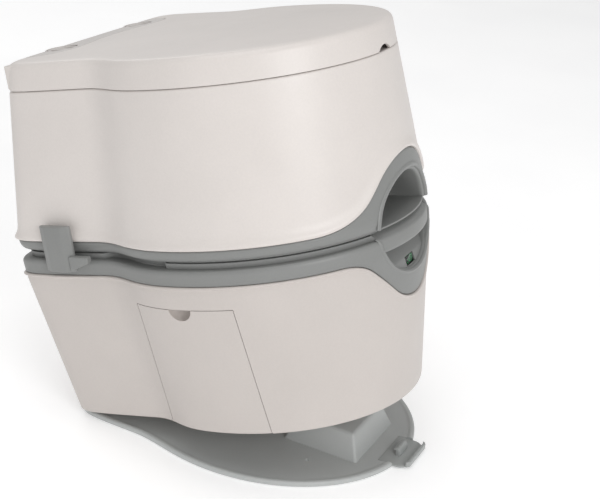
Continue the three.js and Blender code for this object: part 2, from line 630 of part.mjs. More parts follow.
// ---------- latches ----------
function latch(side) {
  const { low, high, front, rear, wall, out } = LATCH;
  const plan = [[wall, front - 2], [wall + 4.5, front - 1.7], [out, front + 7.5], [out, rear - 7],
    [out - 4, rear], [wall + 1.2, rear]];
  const mirror = (xy) => xy.map(([x, y]) => [side * x, y]);
  const [x0, x1] = [side * (wall + 1), side * (out - 1)].sort((a, b) => a - b);
  const tab = [[front + 3, 208], [front + 3, 226], [front - 25, 226], [front - 25, 219]];
  return prismZ(mirror(plan), low, high)
    .add(prismX(tab, x0, x1))
    .add(sideBox(side, 175.5, wall + 1, 131, 143, 209.5, 214.5))
    .subtract(sideBox(side, 170, out + 2, rear - 9.6, rear + 5, KNUCKLE.low - 0.6, KNUCKLE.high + 0.6))
    .subtract(round('z', LATCH_PIN.bore, low + 3, high - 6, side * LATCH_PIN.x, LATCH_PIN.y, 14));
}

// ---------- floor plate ----------
const plateBody = (inset) => ({
  width: PLATE.width - inset, front: PLATE.front - inset, ovalRear: PLATE.ovalRear - inset,
  box: PLATE.box - inset, rear: PLATE.rear - PLATE.y - inset, flare: 0,
});
const plateRow = (inset, z) => outline(plateBody(inset), 0, z, PLATE.y);

function floorPlate() {
  const lug = (side) => {
    const [x0, x1] = [side * DOCK.x - DOCK.width / 2, side * DOCK.x + DOCK.width / 2];
    const z = PLATE_RIM + DOCK_GAP + DOCK.z;
    return round('x', DOCK.lug, x0, x1, DOCK.y, z)
      .add(box(x0, x1, DOCK.y - 5, DOCK.y + 5, 1, z))
      .subtract(round('x', DOCK.pin + GAP, x0 - 1, x1 + 1, DOCK.y, z));
  };
  const countersink = new THREE.CylinderGeometry(5, 2.2, 2.4, 12).rotateX(Math.PI / 2);
  const hole = ([x, y]) => round('z', 2.4, -1, 9, x, y, 12)
    .add(solid(countersink.clone().translate(x, y, PLATE_FLOOR - 0.6)));
  const screwBoss = ([x, y]) => round('z', 7, 1, PLATE_FLOOR + 0.3, x, y, 12);
  const leverSlot = box(-LEVER.half - GAP, LEVER.half + GAP, -230, LEVER.rear + GAP, 1.6, 30);
  const rails = bothSides((side) =>
    sideBox(side, LEVER.half - 10, LEVER.half - 8, -189, LEVER.rear - 4, 1, 3));
  let plate = loft([plateRow(1, 0), plateRow(0, 1.5), plateRow(0, 5.5), plateRow(2, PLATE_RIM)])
    .subtract(loft([plateRow(32, PLATE_FLOOR), plateRow(6, PLATE_RIM + 0.1)]))
    .subtract(box(-130, 130, DOCK.y - 3, 230, PLATE_RIM - 1.8, PLATE_RIM + 1))
    .add(frustum(0, BOSS.height).translate([0, 0, 1.5]))
    .subtract(frustum(-3, BOSS.height - 3).translate([0, 0, -0.1]))
    .add(bothSides(lug));
  SCREW_HOLES.forEach((at) => {
    plate = plate.add(screwBoss(at)).subtract(hole(at));
  });
  return plate.subtract(leverSlot).add(rails);
}

function releaseLever() {
  const { half, front, rear } = LEVER;
  const tongue = prismZ([[-half, rear], [-half, -192], [-half + 6, front + 2], [-half + 12, front],
    [half - 12, front], [half - 6, front + 2], [half, -192], [half, rear]], 2, 4.6);
  const lip = box(-half + 8, half - 8, front, front + 4, 4, 11);
  const barb = prismX([[-188, 4], [-182, 4], [-182, 11.4], [-178, 12], [-182, 14.5], [-185, 14.5],
    [-188, 9]], -12, 12);
  const groove = (x0) => box(x0 - 0.5, x0 + 2.5, -200, rear + 1, 1, 3.5);
  return tongue.add(lip).add(barb).subtract(groove(-half + 8)).subtract(groove(half - 10));
}

// ---------- assembly ----------
const toilet = new THREE.Group();
const waste = new THREE.Group();
const flush = new THREE.Group();
toilet.add(waste, flush);

function piece(parent, name, shape, look) {
  const { vertProperties, triVerts } = shape.getMesh();
  const geometry = new THREE.BufferGeometry();
  geometry.setAttribute('position', new THREE.BufferAttribute(vertProperties, 3));
  geometry.setIndex(new THREE.BufferAttribute(triVerts, 1));
  const mesh = new THREE.Mesh(geometry, new THREE.MeshStandardMaterial({ metalness: 0, ...look }));
  mesh.name = name;
  parent.add(mesh);
}

const SIDES = [['left', -1], ['right', 1]];

piece(waste, 'waste_tank', wasteTank(), WHITE);
piece(waste, 'lower_trim', lowerTrim(), TRIM);
piece(waste, 'paper_niche', paperNiche(), WHITE);
piece(waste, 'paper_door', paperDoor(), WHITE);
piece(waste, 'door_pin', doorPinBar(DOOR_PIN.radius, 20), STEEL);
piece(waste, 'roll_spindle', round('y', ROLL_ROD, DOOR.frontLow - 4, DOOR.rearLow + 5, ROLL.x, ROLL.z), TRIM);
piece(waste, 'paper_roll', paperRoll(), PAPER);
piece(waste, 'valve_base', valveBase(), WHITE);
piece(waste, 'valve_cover', valveCover(), WHITE);
piece(waste, 'valve_blade', valveBlade(), TRIM);
piece(waste, 'blade_handle', bladeHandle(), TRIM);
piece(waste, 'blade_seal', outletRing(5, 0.3, VALVE.slot - 3, VALVE.slot), RUBBER);
piece(waste, 'pour_spout', pourSpout(), TRIM);
piece(waste, 'spout_cap', spoutCap(), TRIM);
piece(waste, 'spout_seal', spoutSeal(), RUBBER);
piece(waste, 'vent_collar', ring('z', 11, 8, TANK_TOP + GAP, 206, VENT.x, VENT.y), TRIM);
piece(waste, 'vent_button', round('z', 7.4, 202, 211, VENT.x, VENT.y)
  .add(round('z', 4, 188, 203, VENT.x, VENT.y)), GREEN);
piece(waste, 'level_window', windowPrism(0), TRIM);
piece(waste, 'float_pin', round('x', FLOAT.pin, -14.5, 14.5, FLOAT.y, FLOAT.z, 16), STEEL);
piece(waste, 'float_lever', floatLever(), TRIM);
piece(waste, 'level_flag', box(-8, 8, FLOAT.y - 12.4, FLOAT.y - 10.4, FLOAT.z - 7, FLOAT.z + 7), GREEN);

piece(flush, 'flush_tank_shell', upperShell(), WHITE);
piece(flush, 'upper_trim', upperTrim(), TRIM);
piece(flush, 'flush_tank_floor', flushFloor(), WHITE);
piece(flush, 'bowl', bowl(), WHITE);
piece(flush, 'bowl_gasket', outletRing(9, 0, VALVE.top + GAP, 216.6), RUBBER);
piece(flush, 'rear_deck', rearDeck(), WHITE);
piece(flush, 'seat', seat(), WHITE);
piece(flush, 'lid', lid(), WHITE);
piece(flush, 'filler_neck', ring('z', CAP.neck, CAP.neck - 2.5, 330, 439, CAP.x, CAP.y), WHITE);
piece(flush, 'fill_cap', gripDisc(CAP, 442, 448)
  .add(round('z', CAP.neck - 3, 432, 443, CAP.x, CAP.y)), TRIM);
piece(flush, 'fill_gasket', ring('z', CAP.neck, CAP.neck - 2.5, 439.4, 441.6, CAP.x, CAP.y), RUBBER);
piece(flush, 'pump_barrel', ring('z', PUMP.barrel, PUMP.barrel - 2.5, 300, 432, PUMP.x, PUMP.y)
  .add(ring('z', PUMP.barrel, 4.4, 426, 430, PUMP.x, PUMP.y)), WHITE);
piece(flush, 'pump_knob', gripDisc(PUMP, 436, 448), TRIM);
piece(flush, 'pump_rod', round('z', 4, 345, 435.6, PUMP.x, PUMP.y)
  .add(round('z', PUMP.barrel - 3, 345, 353, PUMP.x, PUMP.y)), TRIM);
SIDES.forEach(([name, side]) => {
  const dockPin = round('x', DOCK.pin, side * DOCK.x - 14.2, side * DOCK.x + 14.2, DOCK.y, DOCK.z, 14);
  const { low, high } = LATCH;
  const latchPin = round('z', LATCH_PIN.radius, low + 4, high - 7, side * LATCH_PIN.x, LATCH_PIN.y, 12);
  piece(waste, `dock_pin_${name}`, dockPin, STEEL);
  piece(flush, `hinge_pin_${name}`, hingeBore(PIVOT.pin, 116, 158.5, side), STEEL);
  piece(flush, `latch_${name}`, latch(side), TRIM);
  piece(flush, `latch_pin_${name}`, latchPin, STEEL);
  piece(flush, `lid_bumper_${name}`, bumper(6, SEAT.high, LID_RIM - WALL, side * 95, -150), RUBBER);
  piece(flush, `seat_bumper_front_${name}`, bumper(5, LID_SEAM, SEAT.low, side * 112, -136), RUBBER);
  piece(flush, `seat_bumper_rear_${name}`, bumper(5, LID_SEAM, SEAT.low, side * 147, 105), RUBBER);
});

// The toilet turns on its dock pins, tipped back from the plate.
toilet.position.set(0, -DOCK.y, -DOCK.z);
const tipped = new THREE.Group();
tipped.position.set(0, DOCK.y, PLATE_RIM + DOCK_GAP + DOCK.z);
tipped.rotation.x = -TIPPED_BACK;
tipped.add(toilet);

const campToilet = new THREE.Group();
piece(campToilet, 'floor_plate', floorPlate(), PLATE_GREY);
piece(campToilet, 'release_lever', releaseLever(), PLATE_GREY);
campToilet.add(tipped);

export default campToilet;
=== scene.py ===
"""Portable camp toilet, tipped back on its floor plate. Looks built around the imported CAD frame.

Toilet pieces are drawn in millimetres in the toilet's own upright frame and turned into the row frame;
plate pieces are drawn in millimetres in the row frame itself.
"""
import json
import math

import bmesh
import bpy
import numpy as np
from mathutils import Matrix, Vector
from mathutils.geometry import delaunay_2d_cdt


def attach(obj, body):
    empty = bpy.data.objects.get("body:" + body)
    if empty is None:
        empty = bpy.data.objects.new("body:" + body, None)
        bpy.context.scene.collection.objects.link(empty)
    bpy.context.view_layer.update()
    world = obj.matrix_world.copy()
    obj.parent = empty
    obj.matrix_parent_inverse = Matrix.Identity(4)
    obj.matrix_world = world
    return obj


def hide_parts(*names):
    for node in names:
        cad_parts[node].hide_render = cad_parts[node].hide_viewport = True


# ---------- dimensions, as in the CAD part ----------
TIPPED = math.radians(12.71)
DOCK_Y, DOCK_Z, DOCK_ROW_Z = 200.0, 4.0, 11.6
HALF_WIDTH, FRONT_REACH, OVAL_REAR = 194.1, 226.5, 165.1
BOX_HALF_WIDTH, BOX_FLARE, BOX_FLARE_Y, REAR_REACH = 179.0, 0.1, 140.0, 223.5
CREASE_BLEND, CORNER_POWER = 14.0, 14.0
TANK_TOP, BAND_TOP, UPPER_BAND, SHELL_BOTTOM = 197.8, 216.0, 226.0, 239.0
LEAN_TOP = (20.4, 18.1, 24.0, 16.9)  # side, front, rear, box at 448 mm up
LEAN_BOTTOM = (32.3, 27.3, 20.0, 27.4)
ARCH = (303.0, 80.0, 90.0, SHELL_BOTTOM)  # crown, radius, flank, base
LOBE = (131.0, 62.0, 49.0, TANK_TOP)
EYE_X, EYE_Z, EYE_CENTRE = 68.0, 62.0, 222.0
CUP_FLOOR = 228.6
WINDOW_HALF, WINDOW_Z = 11.4, (165.2, 175.6)
DECK_LINE = [(0, 161), (28, 159), (56, 153), (84, 149.5), (106, 154), (120, 165), (127, 184), (127, 240)]
CAP_X, CAP_Y, FILL_RADIUS, PUMP_RADIUS, CAP_ROOM = 78, 176, 18, 17, 0.8
HINGE_Y, HINGE_Z = 190.5, 424.5
LATCH_PIN_X, LATCH_PIN_Y, KNUCKLE_Z = 188.6, 162.5, (228, 237)
SPOUT_Y, SPOUT_Z = 151, 192
ROLL_X, ROLL_Z = -119.5, 106.0
NOTCH_Y, NOTCH_Z, NOTCH_RADIUS = -13, 168.5, 14.5
DOCK_X, DOCK_HALF, DOCK_RADIUS, DOCK_ROOM = 70, 10, 6.5, 1.2
PLATE_HALF_WIDTH, PLATE_FRONT, PLATE_REAR, PLATE_OVAL, PLATE_FLANK = 163.3, 192.5, 206.7, 196.0, 146.6
PLATE_Y = 2.2
SCREWS = ((-80, -94), (80, -94), (-80, 112), (80, 112))


def to_row(points):
    """Upright toilet millimetres to row-frame metres."""
    p = np.asarray(points, float)
    c, s = math.cos(TIPPED), math.sin(TIPPED)
    y, z = p[..., 1] - DOCK_Y, p[..., 2] - DOCK_Z
    return np.stack([p[..., 0], DOCK_Y + y * c + z * s, DOCK_ROW_Z - y * s + z * c], -1) / 1000


def plate_to_row(points):
    return np.asarray(points, float) / 1000


# ---------- materials ----------
class Nodes:
    """A small helper for building a material's node tree."""

    def __init__(self, name):
        self.material = bpy.data.materials.new(name)
        self.material.use_nodes = True
        self.tree = self.material.node_tree
        self.shader = self.tree.nodes["Principled BSDF"]
        self.place = self.add("ShaderNodeTexCoord").outputs["Object"]

    def add(self, kind, **values):
        node = self.tree.nodes.new(kind)
        for name, value in values.items():
            if name in node.inputs:
                node.inputs[name].default_value = value
            else:
                setattr(node, name, value)
        return node

    def link(self, a, b):
        self.tree.links.new(a, b)

    def noise(self, scale, detail=3.0, roughness=0.5):
        node = self.add("ShaderNodeTexNoise", Scale=scale, Detail=detail, Roughness=roughness)
        self.link(self.place, node.inputs["Vector"])
        return node.outputs["Fac"]

    def ramp(self, value, stops):
        node = self.add("ShaderNodeValToRGB")
        self.link(value, node.inputs["Fac"])
        node.color_ramp.elements[0].position, node.color_ramp.elements[0].color = stops[0]
        node.color_ramp.elements[1].position, node.color_ramp.elements[1].color = stops[-1]
        for position, colour in stops[1:-1]:
            node.color_ramp.elements.new(position).color = colour
        return node.outputs["Color"]

    def spread(self, value, low, high):
        node = self.add("ShaderNodeMapRange")
        node.inputs["To Min"].default_value = low
        node.inputs["To Max"].default_value = high
        self.link(value, node.inputs["Value"])
        return node.outputs["Result"]

    def bump(self, height, strength, distance, below=None):
        node = self.add("ShaderNodeBump", Strength=strength, Distance=distance)
        self.link(height, node.inputs["Height"])
        if below is not None:
            self.link(below, node.inputs["Normal"])
        return node.outputs["Normal"]


def shade(colour, by):
    return tuple(max(0.0, min(1.0, c * by)) for c in colour) + (1.0,)


def plastic(name, colour, rough, grain=2600.0, grain_depth=0.00002, grain_strength=0.25):
    """Moulded plastic: a fine spark-eroded grain, soft cloudiness in colour and in gloss."""
    m = Nodes(name)
    cloud = m.noise(9.0, 4.0, 0.55)
    fleck = m.noise(420.0, 2.0, 0.6)
    tone = m.ramp(cloud, [(0.3, shade(colour, 0.965)), (0.7, shade(colour, 1.02))])
    mix = m.add("ShaderNodeMix", data_type="RGBA", blend_type="MULTIPLY")
    mix.inputs["Factor"].default_value = 0.35
    m.link(tone, mix.inputs["A"])
    m.link(m.ramp(fleck, [(0.35, (0.93, 0.93, 0.93, 1)), (0.65, (1, 1, 1, 1))]), mix.inputs["B"])
    m.link(mix.outputs["Result"], m.shader.inputs["Base Color"])
    m.link(m.spread(m.noise(38.0, 5.0, 0.6), rough - 0.05, rough + 0.06), m.shader.inputs["Roughness"])
    waves = m.bump(m.noise(26.0, 2.0, 0.4), 0.12, 0.0006)
    m.link(m.bump(m.noise(grain, 2.0, 0.5), grain_strength, grain_depth, waves), m.shader.inputs["Normal"])
    m.shader.inputs["Specular IOR Level"].default_value = 0.5
    return m.material


def rubber(name):
    m = Nodes(name)
    m.link(m.ramp(m.noise(60.0), [(0.3, (0.018, 0.018, 0.019, 1)), (0.7, (0.035, 0.035, 0.036, 1))]),
           m.shader.inputs["Base Color"])
    m.shader.inputs["Roughness"].default_value = 0.72
    m.link(m.bump(m.noise(1800.0), 0.4, 0.00004), m.shader.inputs["Normal"])
    return m.material


def steel(name):
    m = Nodes(name)
    m.shader.inputs["Metallic"].default_value = 1.0
    m.link(m.ramp(m.noise(900.0, 2.0), [(0.3, (0.5, 0.5, 0.51, 1)), (0.7, (0.66, 0.66, 0.67, 1))]),
           m.shader.inputs["Base Color"])
    m.link(m.spread(m.noise(300.0), 0.25, 0.4), m.shader.inputs["Roughness"])
    return m.material


def clear(name):
    m = Nodes(name)
    m.shader.inputs["Base Color"].default_value = (0.93, 0.97, 0.95, 1)
    m.shader.inputs["Transmission Weight"].default_value = 1.0
    m.shader.inputs["IOR"].default_value = 1.49
    m.link(m.spread(m.noise(120.0), 0.03, 0.08), m.shader.inputs["Roughness"])
    return m.material


def tissue(name):
    m = Nodes(name)
    m.link(m.ramp(m.noise(140.0), [(0.3, (0.86, 0.84, 0.8, 1)), (0.7, (0.93, 0.91, 0.88, 1))]),
           m.shader.inputs["Base Color"])
    m.shader.inputs["Roughness"].default_value = 0.95
    dots = m.add("ShaderNodeTexVoronoi", Scale=420.0)
    m.link(m.place, dots.inputs["Vector"])
    m.link(m.bump(dots.outputs["Distance"], 0.5, 0.0003), m.shader.inputs["Normal"])
    return m.material


# ---------- meshes ----------
def finish_mesh(obj, sharp=35.0):
    """Welded, facing out, smooth except across edges sharper than the given angle."""
    mesh = obj.data
    work = bmesh.new()
    work.from_mesh(mesh)
    bmesh.ops.remove_doubles(work, verts=work.verts, dist=2e-6)
    bmesh.ops.dissolve_degenerate(work, dist=1e-6, edges=work.edges)
    bmesh.ops.recalc_face_normals(work, faces=work.faces)
    work.to_mesh(mesh)
    work.free()
    mesh.shade_smooth()
    mesh.set_sharp_from_angle(angle=math.radians(sharp))


def filled(obj):
    """Closes a mesh's open ends with flat faces."""
    work = bmesh.new()
    work.from_mesh(obj.data)
    bmesh.ops.holes_fill(work, edges=work.edges, sides=0)
    bmesh.ops.recalc_face_normals(work, faces=work.faces)
    work.to_mesh(obj.data)
    work.free()
    return obj


def make(name, vertices, faces, place=to_row):
    mesh = bpy.data.meshes.new(name)
    mesh.from_pydata([tuple(v) for v in place(np.asarray(vertices, float))], [], faces)
    work = bmesh.new()
    work.from_mesh(mesh)
    if all(edge.is_manifold for edge in work.edges):
        bmesh.ops.recalc_face_normals(work, faces=work.faces)
        work.to_mesh(mesh)
    work.free()
    mesh.update()
    obj = bpy.data.objects.new(name, mesh)
    bpy.context.scene.collection.objects.link(obj)
    return obj


def grid(name, rows, closed=True, around=True, place=to_row):
    """A mesh through rows of points. closed joins the last row to the first, around each row's ends."""
    rows = np.asarray(rows, float)
    count, width = rows.shape[:2]
    faces = []
    for k in range(count if closed else count - 1):
        a, b = k * width, ((k + 1) % count) * width
        for i in range(width if around else width - 1):
            j = (i + 1) % width
            faces.append((a + i, a + j, b + j, b + i))
    return make(name, rows.reshape(-1, 3), faces, place)


def modify(obj, kind, **values):
    """Adds one modifier and applies it."""
    modifier = obj.modifiers.new("step", kind)
    for key, value in values.items():
        setattr(modifier, key, value)
    graph = bpy.context.evaluated_depsgraph_get()
    mesh = bpy.data.meshes.new_from_object(obj.evaluated_get(graph), depsgraph=graph)
    old = obj.data
    obj.modifiers.clear()
    obj.data = mesh
    bpy.data.meshes.remove(old)
    return obj


def cut(obj, *tools, operation="DIFFERENCE"):
    for tool in tools:
        modify(obj, "BOOLEAN", operation=operation, object=tool, solver="EXACT")
        bpy.data.objects.remove(tool)
    return obj


def prism(name, outline, low, high, axis="z", place=to_row):
    """A straight prism: outline is in the other two axes (x: yz, y: xz, z: xy)."""
    def at(p, w):
        return {"x": (w, p[0], p[1]), "y": (p[0], w, p[1]), "z": (p[0], p[1], w)}[axis]
    n = len(outline)
    vertices = [at(p, low) for p in outline] + [at(p, high) for p in outline]
    faces = [tuple(range(n - 1, -1, -1)), tuple(range(n, 2 * n))]
    faces += [(i, (i + 1) % n, n + (i + 1) % n, n + i) for i in range(n)]
    return make(name, vertices, faces, place)


def block(name, x0, x1, y0, y1, z0, z1, place=to_row):
    return prism(name, [(x0, y0), (x1, y0), (x1, y1), (x0, y1)], z0, z1, "z", place)


def bevelled(obj, width, segments=3, angle=30.0):
    return modify(obj, "BEVEL", width=width / 1000, segments=segments, limit_method="ANGLE",
                  angle_limit=math.radians(angle), harden_normals=False)


def circle(u, v, radius, sides=48):
    turns = np.arange(sides) * 2 * math.pi / sides
    return [(u + radius * math.cos(t), v + radius * math.sin(t)) for t in turns]


def lathe(name, profile, centre, axis="z", sides=64, place=to_row):
    """Turns (radius, height) pairs round an axis through centre, a pair of the other coordinates."""
    turns = np.arange(sides) * 2 * math.pi / sides
    rows = []
    for radius, height in profile:
        u, v = centre[0] + radius * np.cos(turns), centre[1] + radius * np.sin(turns)
        w = np.full(sides, height)
        rows.append(np.stack({"x": [w, u, v], "y": [u, w, v], "z": [u, v, w]}[axis], -1))
    return grid(name, rows, closed=True, place=place)


def show(obj, body, material, nodes=(), sharp=35.0):
    """The piece's finish, its body, and the CAD nodes it stands for."""
    finish_mesh(obj, sharp)
    obj.data.materials.clear()
    obj.data.materials.append(material)
    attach(obj, body)
    if nodes:
        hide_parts(*nodes)
    return obj


# ---------- the body's outline ----------
def lean(z):
    """How far in the side, front, rear and box walls have leaned at a height."""
    up = (z - SHELL_BOTTOM) / (448 - SHELL_BOTTOM)
    down = (TANK_TOP - z) / TANK_TOP
    share = np.maximum(np.maximum(up, down), 0)
    return [np.where(up > 0, a, b) * share for a, b in zip(LEAN_TOP, LEAN_BOTTOM)]


def squared(flank, back):
    """A flank and a back, met in a tight round corner."""
    return (flank ** -CORNER_POWER + back ** -CORNER_POWER) ** (-1 / CORNER_POWER)


def creased(oval, corner):
    """The larger of two radii, with a soft crease where they are close."""
    apart = np.abs(oval - corner)
    blend = np.where(apart < CREASE_BLEND, (CREASE_BLEND - apart) ** 2 / (4 * CREASE_BLEND), 0)
    return np.maximum(oval, corner) + blend


def rear_radius(dx, dy, z, inset):
    """Distance from the centre to the wall for directions that point rearwards."""
    side, _, rear, box = lean(z)
    width, long = HALF_WIDTH - side - inset, OVAL_REAR - side - inset
    oval = 1 / np.hypot(dx / width, dy / long)
    across = np.maximum(np.abs(dx) - BOX_FLARE * dy, 1e-3)
    flank = (BOX_HALF_WIDTH - box - inset - BOX_FLARE * BOX_FLARE_Y) / across
    back = (REAR_REACH - rear - inset) / np.maximum(dy, 1e-6)
    return creased(oval, squared(flank, back))


def wall(turns, z, inset):
    """Points of the body's side. Turns run from the rear through -X; ahead they are the oval's own angle."""
    turns, z, inset = np.broadcast_arrays(*(np.asarray(value, float) for value in (turns, z, inset)))
    side, front, _, _ = lean(z)
    dx, dy = -np.sin(turns), np.cos(turns)
    radius = rear_radius(dx, np.maximum(dy, 1e-9), z, inset)
    ahead = dy <= 0
    x = np.where(ahead, (HALF_WIDTH - side - inset) * dx, radius * dx)
    y = np.where(ahead, (FRONT_REACH - front - inset) * dy, radius * dy)
    return np.stack([x, y, z], -1)


def face_y(x, z, inset=0.0):
    """How far forward the front wall is at x and height z."""
    side, front, _, _ = lean(np.asarray(z, float))
    across = np.clip(np.asarray(x) / (HALF_WIDTH - side - inset), -0.999, 0.999)
    return -(FRONT_REACH - front - inset) * np.sqrt(1 - across ** 2)


def eye_edge(x, contour, grow=0.0):
    """Height of the arch or lobe over the half width x, measured at right angles to the band."""
    crown, radius, flank, base = contour
    sign = 1 if crown > base else -1
    height = abs(crown - base)
    root = math.sqrt(0.5)
    run = radius * root + height - (radius + flank) * (1 - root) + flank * root
    x = np.abs(x)
    r, f = radius + grow, flank - grow
    top = height - radius + np.sqrt(np.maximum(r * r - x * x, 0))
    slope = (height - radius + r * root) - (x - r * root)
    foot = flank - np.sqrt(np.maximum(f * f - (run - x) ** 2, 0))
    rise = np.where(x < r * root, top, np.where(x < run - f * root, slope, np.where(x < run, foot, grow)))
    return base + sign * rise


def edge_heights(turns, contour, grow=0.0):
    """The contour's height on each column of the wall."""
    crown, _, _, base = contour
    plain = base + math.copysign(grow, crown - base)
    z = np.full(len(turns), base, float)
    ahead = np.cos(turns) < 0
    for _ in range(12):
        x = wall(turns, z, 0)[:, 0]
        z = np.where(ahead, eye_edge(x, contour, grow), plain)
    return z


def turns_for(xs, z):
    """Turns of the front columns at these half widths and heights."""
    side = lean(np.asarray(z, float))[0]
    return math.pi + np.arcsin(np.asarray(xs) / (HALF_WIDTH - side))


def side_turns(front_turns):
    """All columns: round the rear, along both sides, and the given ones across the front."""
    low, high = math.pi / 2, front_turns.min()
    rear = np.radians(np.concatenate([np.arange(0, 22, 3), np.arange(22, 30, 2), np.arange(30, 46, 0.75),
                                      np.arange(46, 62, 1.5), np.arange(62, 90, 2.5)]))
    flank = np.linspace(low, high, 38)[:-1]
    half = np.concatenate([rear, flank])
    other = 2 * math.pi - half[1:][::-1]
    return np.concatenate([half, front_turns, other])


PLAIN_TURNS = side_turns(np.linspace(math.pi - 0.75, math.pi + 0.75, 97))


def stretch_along(turns, heights):
    """How much longer a step at right angles to the contour is when it is taken upwards."""
    x = wall(turns, heights, 0)[:, 0]
    slope = np.gradient(heights) / np.where(np.abs(np.gradient(x)) < 1e-6, 1e-6, np.gradient(x))
    return np.sqrt(1 + np.clip(slope, -1, 1) ** 2)


def plan_towards(outer, inner, steps):
    """Rows between two rings of points."""
    return [outer + (inner - outer) * t for t in np.linspace(0, 1, steps + 2)[1:-1]]


def ellipse_row(outer, centre, half_x, half_y, z):
    """A point of the ellipse in the direction of each point of a ring."""
    d = outer[:, :2] - np.array(centre)
    scale = 1 / np.hypot(d[:, 0] / half_x, d[:, 1] / half_y)
    xy = np.array(centre) + d * scale[:, None]
    return np.column_stack([xy, np.full(len(outer), z)])


# How far in the shell's skin is at a distance from the trim: a wide flare above it, a bead below it.
FLARE = [(0.0, 3.4), (0.0, 0.5), (0.2, -0.5), (0.8, -1.7), (1.7, -2.5), (2.9, -2.9), (4.4, -2.8), (6.2, -2.2),
         (8.2, -1.4), (10.8, -0.7), (13.5, -0.2), (17.0, 0.0)]
BEAD = [(0.0, 3.4), (0.0, 0.9), (0.2, -0.3), (0.6, -1.1), (1.3, -1.7), (2.1, -1.7), (2.8, -1.0), (3.3, -0.2),
        (4.0, 0.35), (5.2, 0.4), (7.5, 0.15), (10.0, 0.0)]


def upper_shell():
    turns = PLAIN_TURNS
    low = edge_heights(turns, ARCH, 0.5)
    stretch = stretch_along(turns, low)
    rows = [wall(turns, low + s * stretch, inset) for s, inset in FLARE]
    start = low + FLARE[-1][0] * stretch
    rows += [wall(turns, start + (412.2 - start) * t, 0) for t in np.linspace(0, 1, 16)[1:]]
    rows += [wall(turns, z, inset) for z, inset in
             [(413.4, 0.1), (414.3, 0.4), (414.9, 0.95), (415.3, 1.7), (415.4, 2.7), (415.4, 6.0)]]
    hole = ellipse_row(rows[-1], (0, -32), 129, 143, 415.4)
    rows += plan_towards(rows[-1], hole, 3) + [hole, hole - np.array([0, 0, 3.5])]
    rows += [wall(turns, 411.9, 5.0), wall(turns, 408.0, 3.5)]
    rows += [wall(turns, low + 6, 3.5)]
    return grid("flush_shell", rows)


def door_outline(shrink):
    top = NOTCH_Z - shrink
    return [(-85 + shrink, -8), (54 - shrink, -8), (52 - shrink, top), (-78 + shrink, top)]


def lower_shell():
    turns = PLAIN_TURNS
    high = edge_heights(turns, LOBE, 0.5)
    stretch = stretch_along(turns, high)
    foot = [(0.0, 6.0), (0.0, 3.4), (0.3, 2.0), (0.9, 1.0), (2.0, 0.35), (3.6, 0.0)]
    rows = [wall(turns, 0.0, 0) * np.array([f, f, 1]) for f in (0.04, 0.35, 0.7)]
    rows += [wall(turns, z, inset) for z, inset in foot]
    end = high - BEAD[-1][0] * stretch
    rows += [wall(turns, 3.6 + (end - 3.6) * t, 0) for t in np.linspace(0, 1, 16)[1:]]
    rows += [wall(turns, high - s * stretch, inset) for s, inset in BEAD[::-1][1:]]
    rows += [wall(turns, high, 8.0), wall(turns, 197.4, 8.0)]
    hole = ellipse_row(rows[-1], (0, -5), 50, 50, 197.4)
    rows += plan_towards(rows[-1], hole, 3) + [hole, hole - np.array([0, 0, 10.0])]
    middle = np.array([0, -5, 187.4])
    rows += [middle + (rows[-1] - middle) * 0.04]
    shell = filled(grid("waste_shell", rows, closed=False))
    oval = [((EYE_X + 3.6) * math.cos(t), EYE_CENTRE + (EYE_Z + 3.6) * math.sin(t))
            for t in np.linspace(0, 2 * math.pi, 64, endpoint=False)]
    cut(shell, prism("tool", oval, -240, -181, "y"))
    cut(shell, prism("tool", door_outline(0), -230, -66, "x"))
    cut(shell, block("tool", -78, 98, 126, 176, 168, 210))
    cut(shell, block("tool", -59, 59, -153, -41, -5, 40))
    cut(shell, block("tool", -13.5, 13.5, -194, -175, -5, 9.5))
    room = DOCK_RADIUS + DOCK_ROOM
    half = DOCK_HALF + 0.6
    for x in (-DOCK_X, DOCK_X):
        cut(shell, prism("tool", circle(DOCK_Y, DOCK_Z, room, 24), x - half, x + half, "x"))
        cut(shell, block("tool", x - half, x + half, DOCK_Y - room, 230, -5, DOCK_Z))
    return shell


def door_panel():
    turns = np.radians(np.linspace(66, 124, 90))
    heights = np.linspace(2.0, 176.0, 24)
    loop = [(z, 0.0) for z in heights] + [(z, 2.6) for z in heights[::-1]]
    rows = [wall(turns, z, inset) for z, inset in loop]
    panel = filled(grid("door_panel", rows, closed=True, around=False))
    cut(panel, prism("tool", door_outline(0.8), -230, -100, "x"), operation="INTERSECT")
    cut(panel, prism("tool", circle(NOTCH_Y, NOTCH_Z, NOTCH_RADIUS), -230, -100, "x"))
    cup = lathe("finger_cup", [(15.0, -185.6), (14.6, -182.0), (12.4, -177.8), (8.0, -175.4), (0.3, -174.6),
                               (0.3, -173.2), (8.6, -174.0), (13.8, -176.8), (16.2, -181.6), (16.6, -185.6)],
                (NOTCH_Y, NOTCH_Z), "x")
    cut(cup, block("tool", -200, -160, -40, 20, 167.6, 190))
    return join([panel, cup])


# ---------- grey trims ----------
def band_inset(z):
    return np.interp(z, [226, 227.5, 229.5, 232, 235, 239], [5.0, 3.4, 2.1, 1.1, 0.45, 0.15])


def lower_inset(z):
    return np.interp(z, [160, 190, 198, 201, 206, 211, 213.4, 215, 215.8, 216],
                     [0.15, 0.15, 0.4, 0.5, 0.2, 0.0, 0.45, 1.5, 2.8, 4.0])


def eye_turns(phis):
    """Columns through the oval's edge at these angles, and the heights of that edge."""
    x, z = EYE_X * np.cos(phis), EYE_CENTRE + EYE_Z * np.sin(phis)
    order = np.argsort(x)
    x, z = x[order], z[order]
    return turns_for(x, z), z


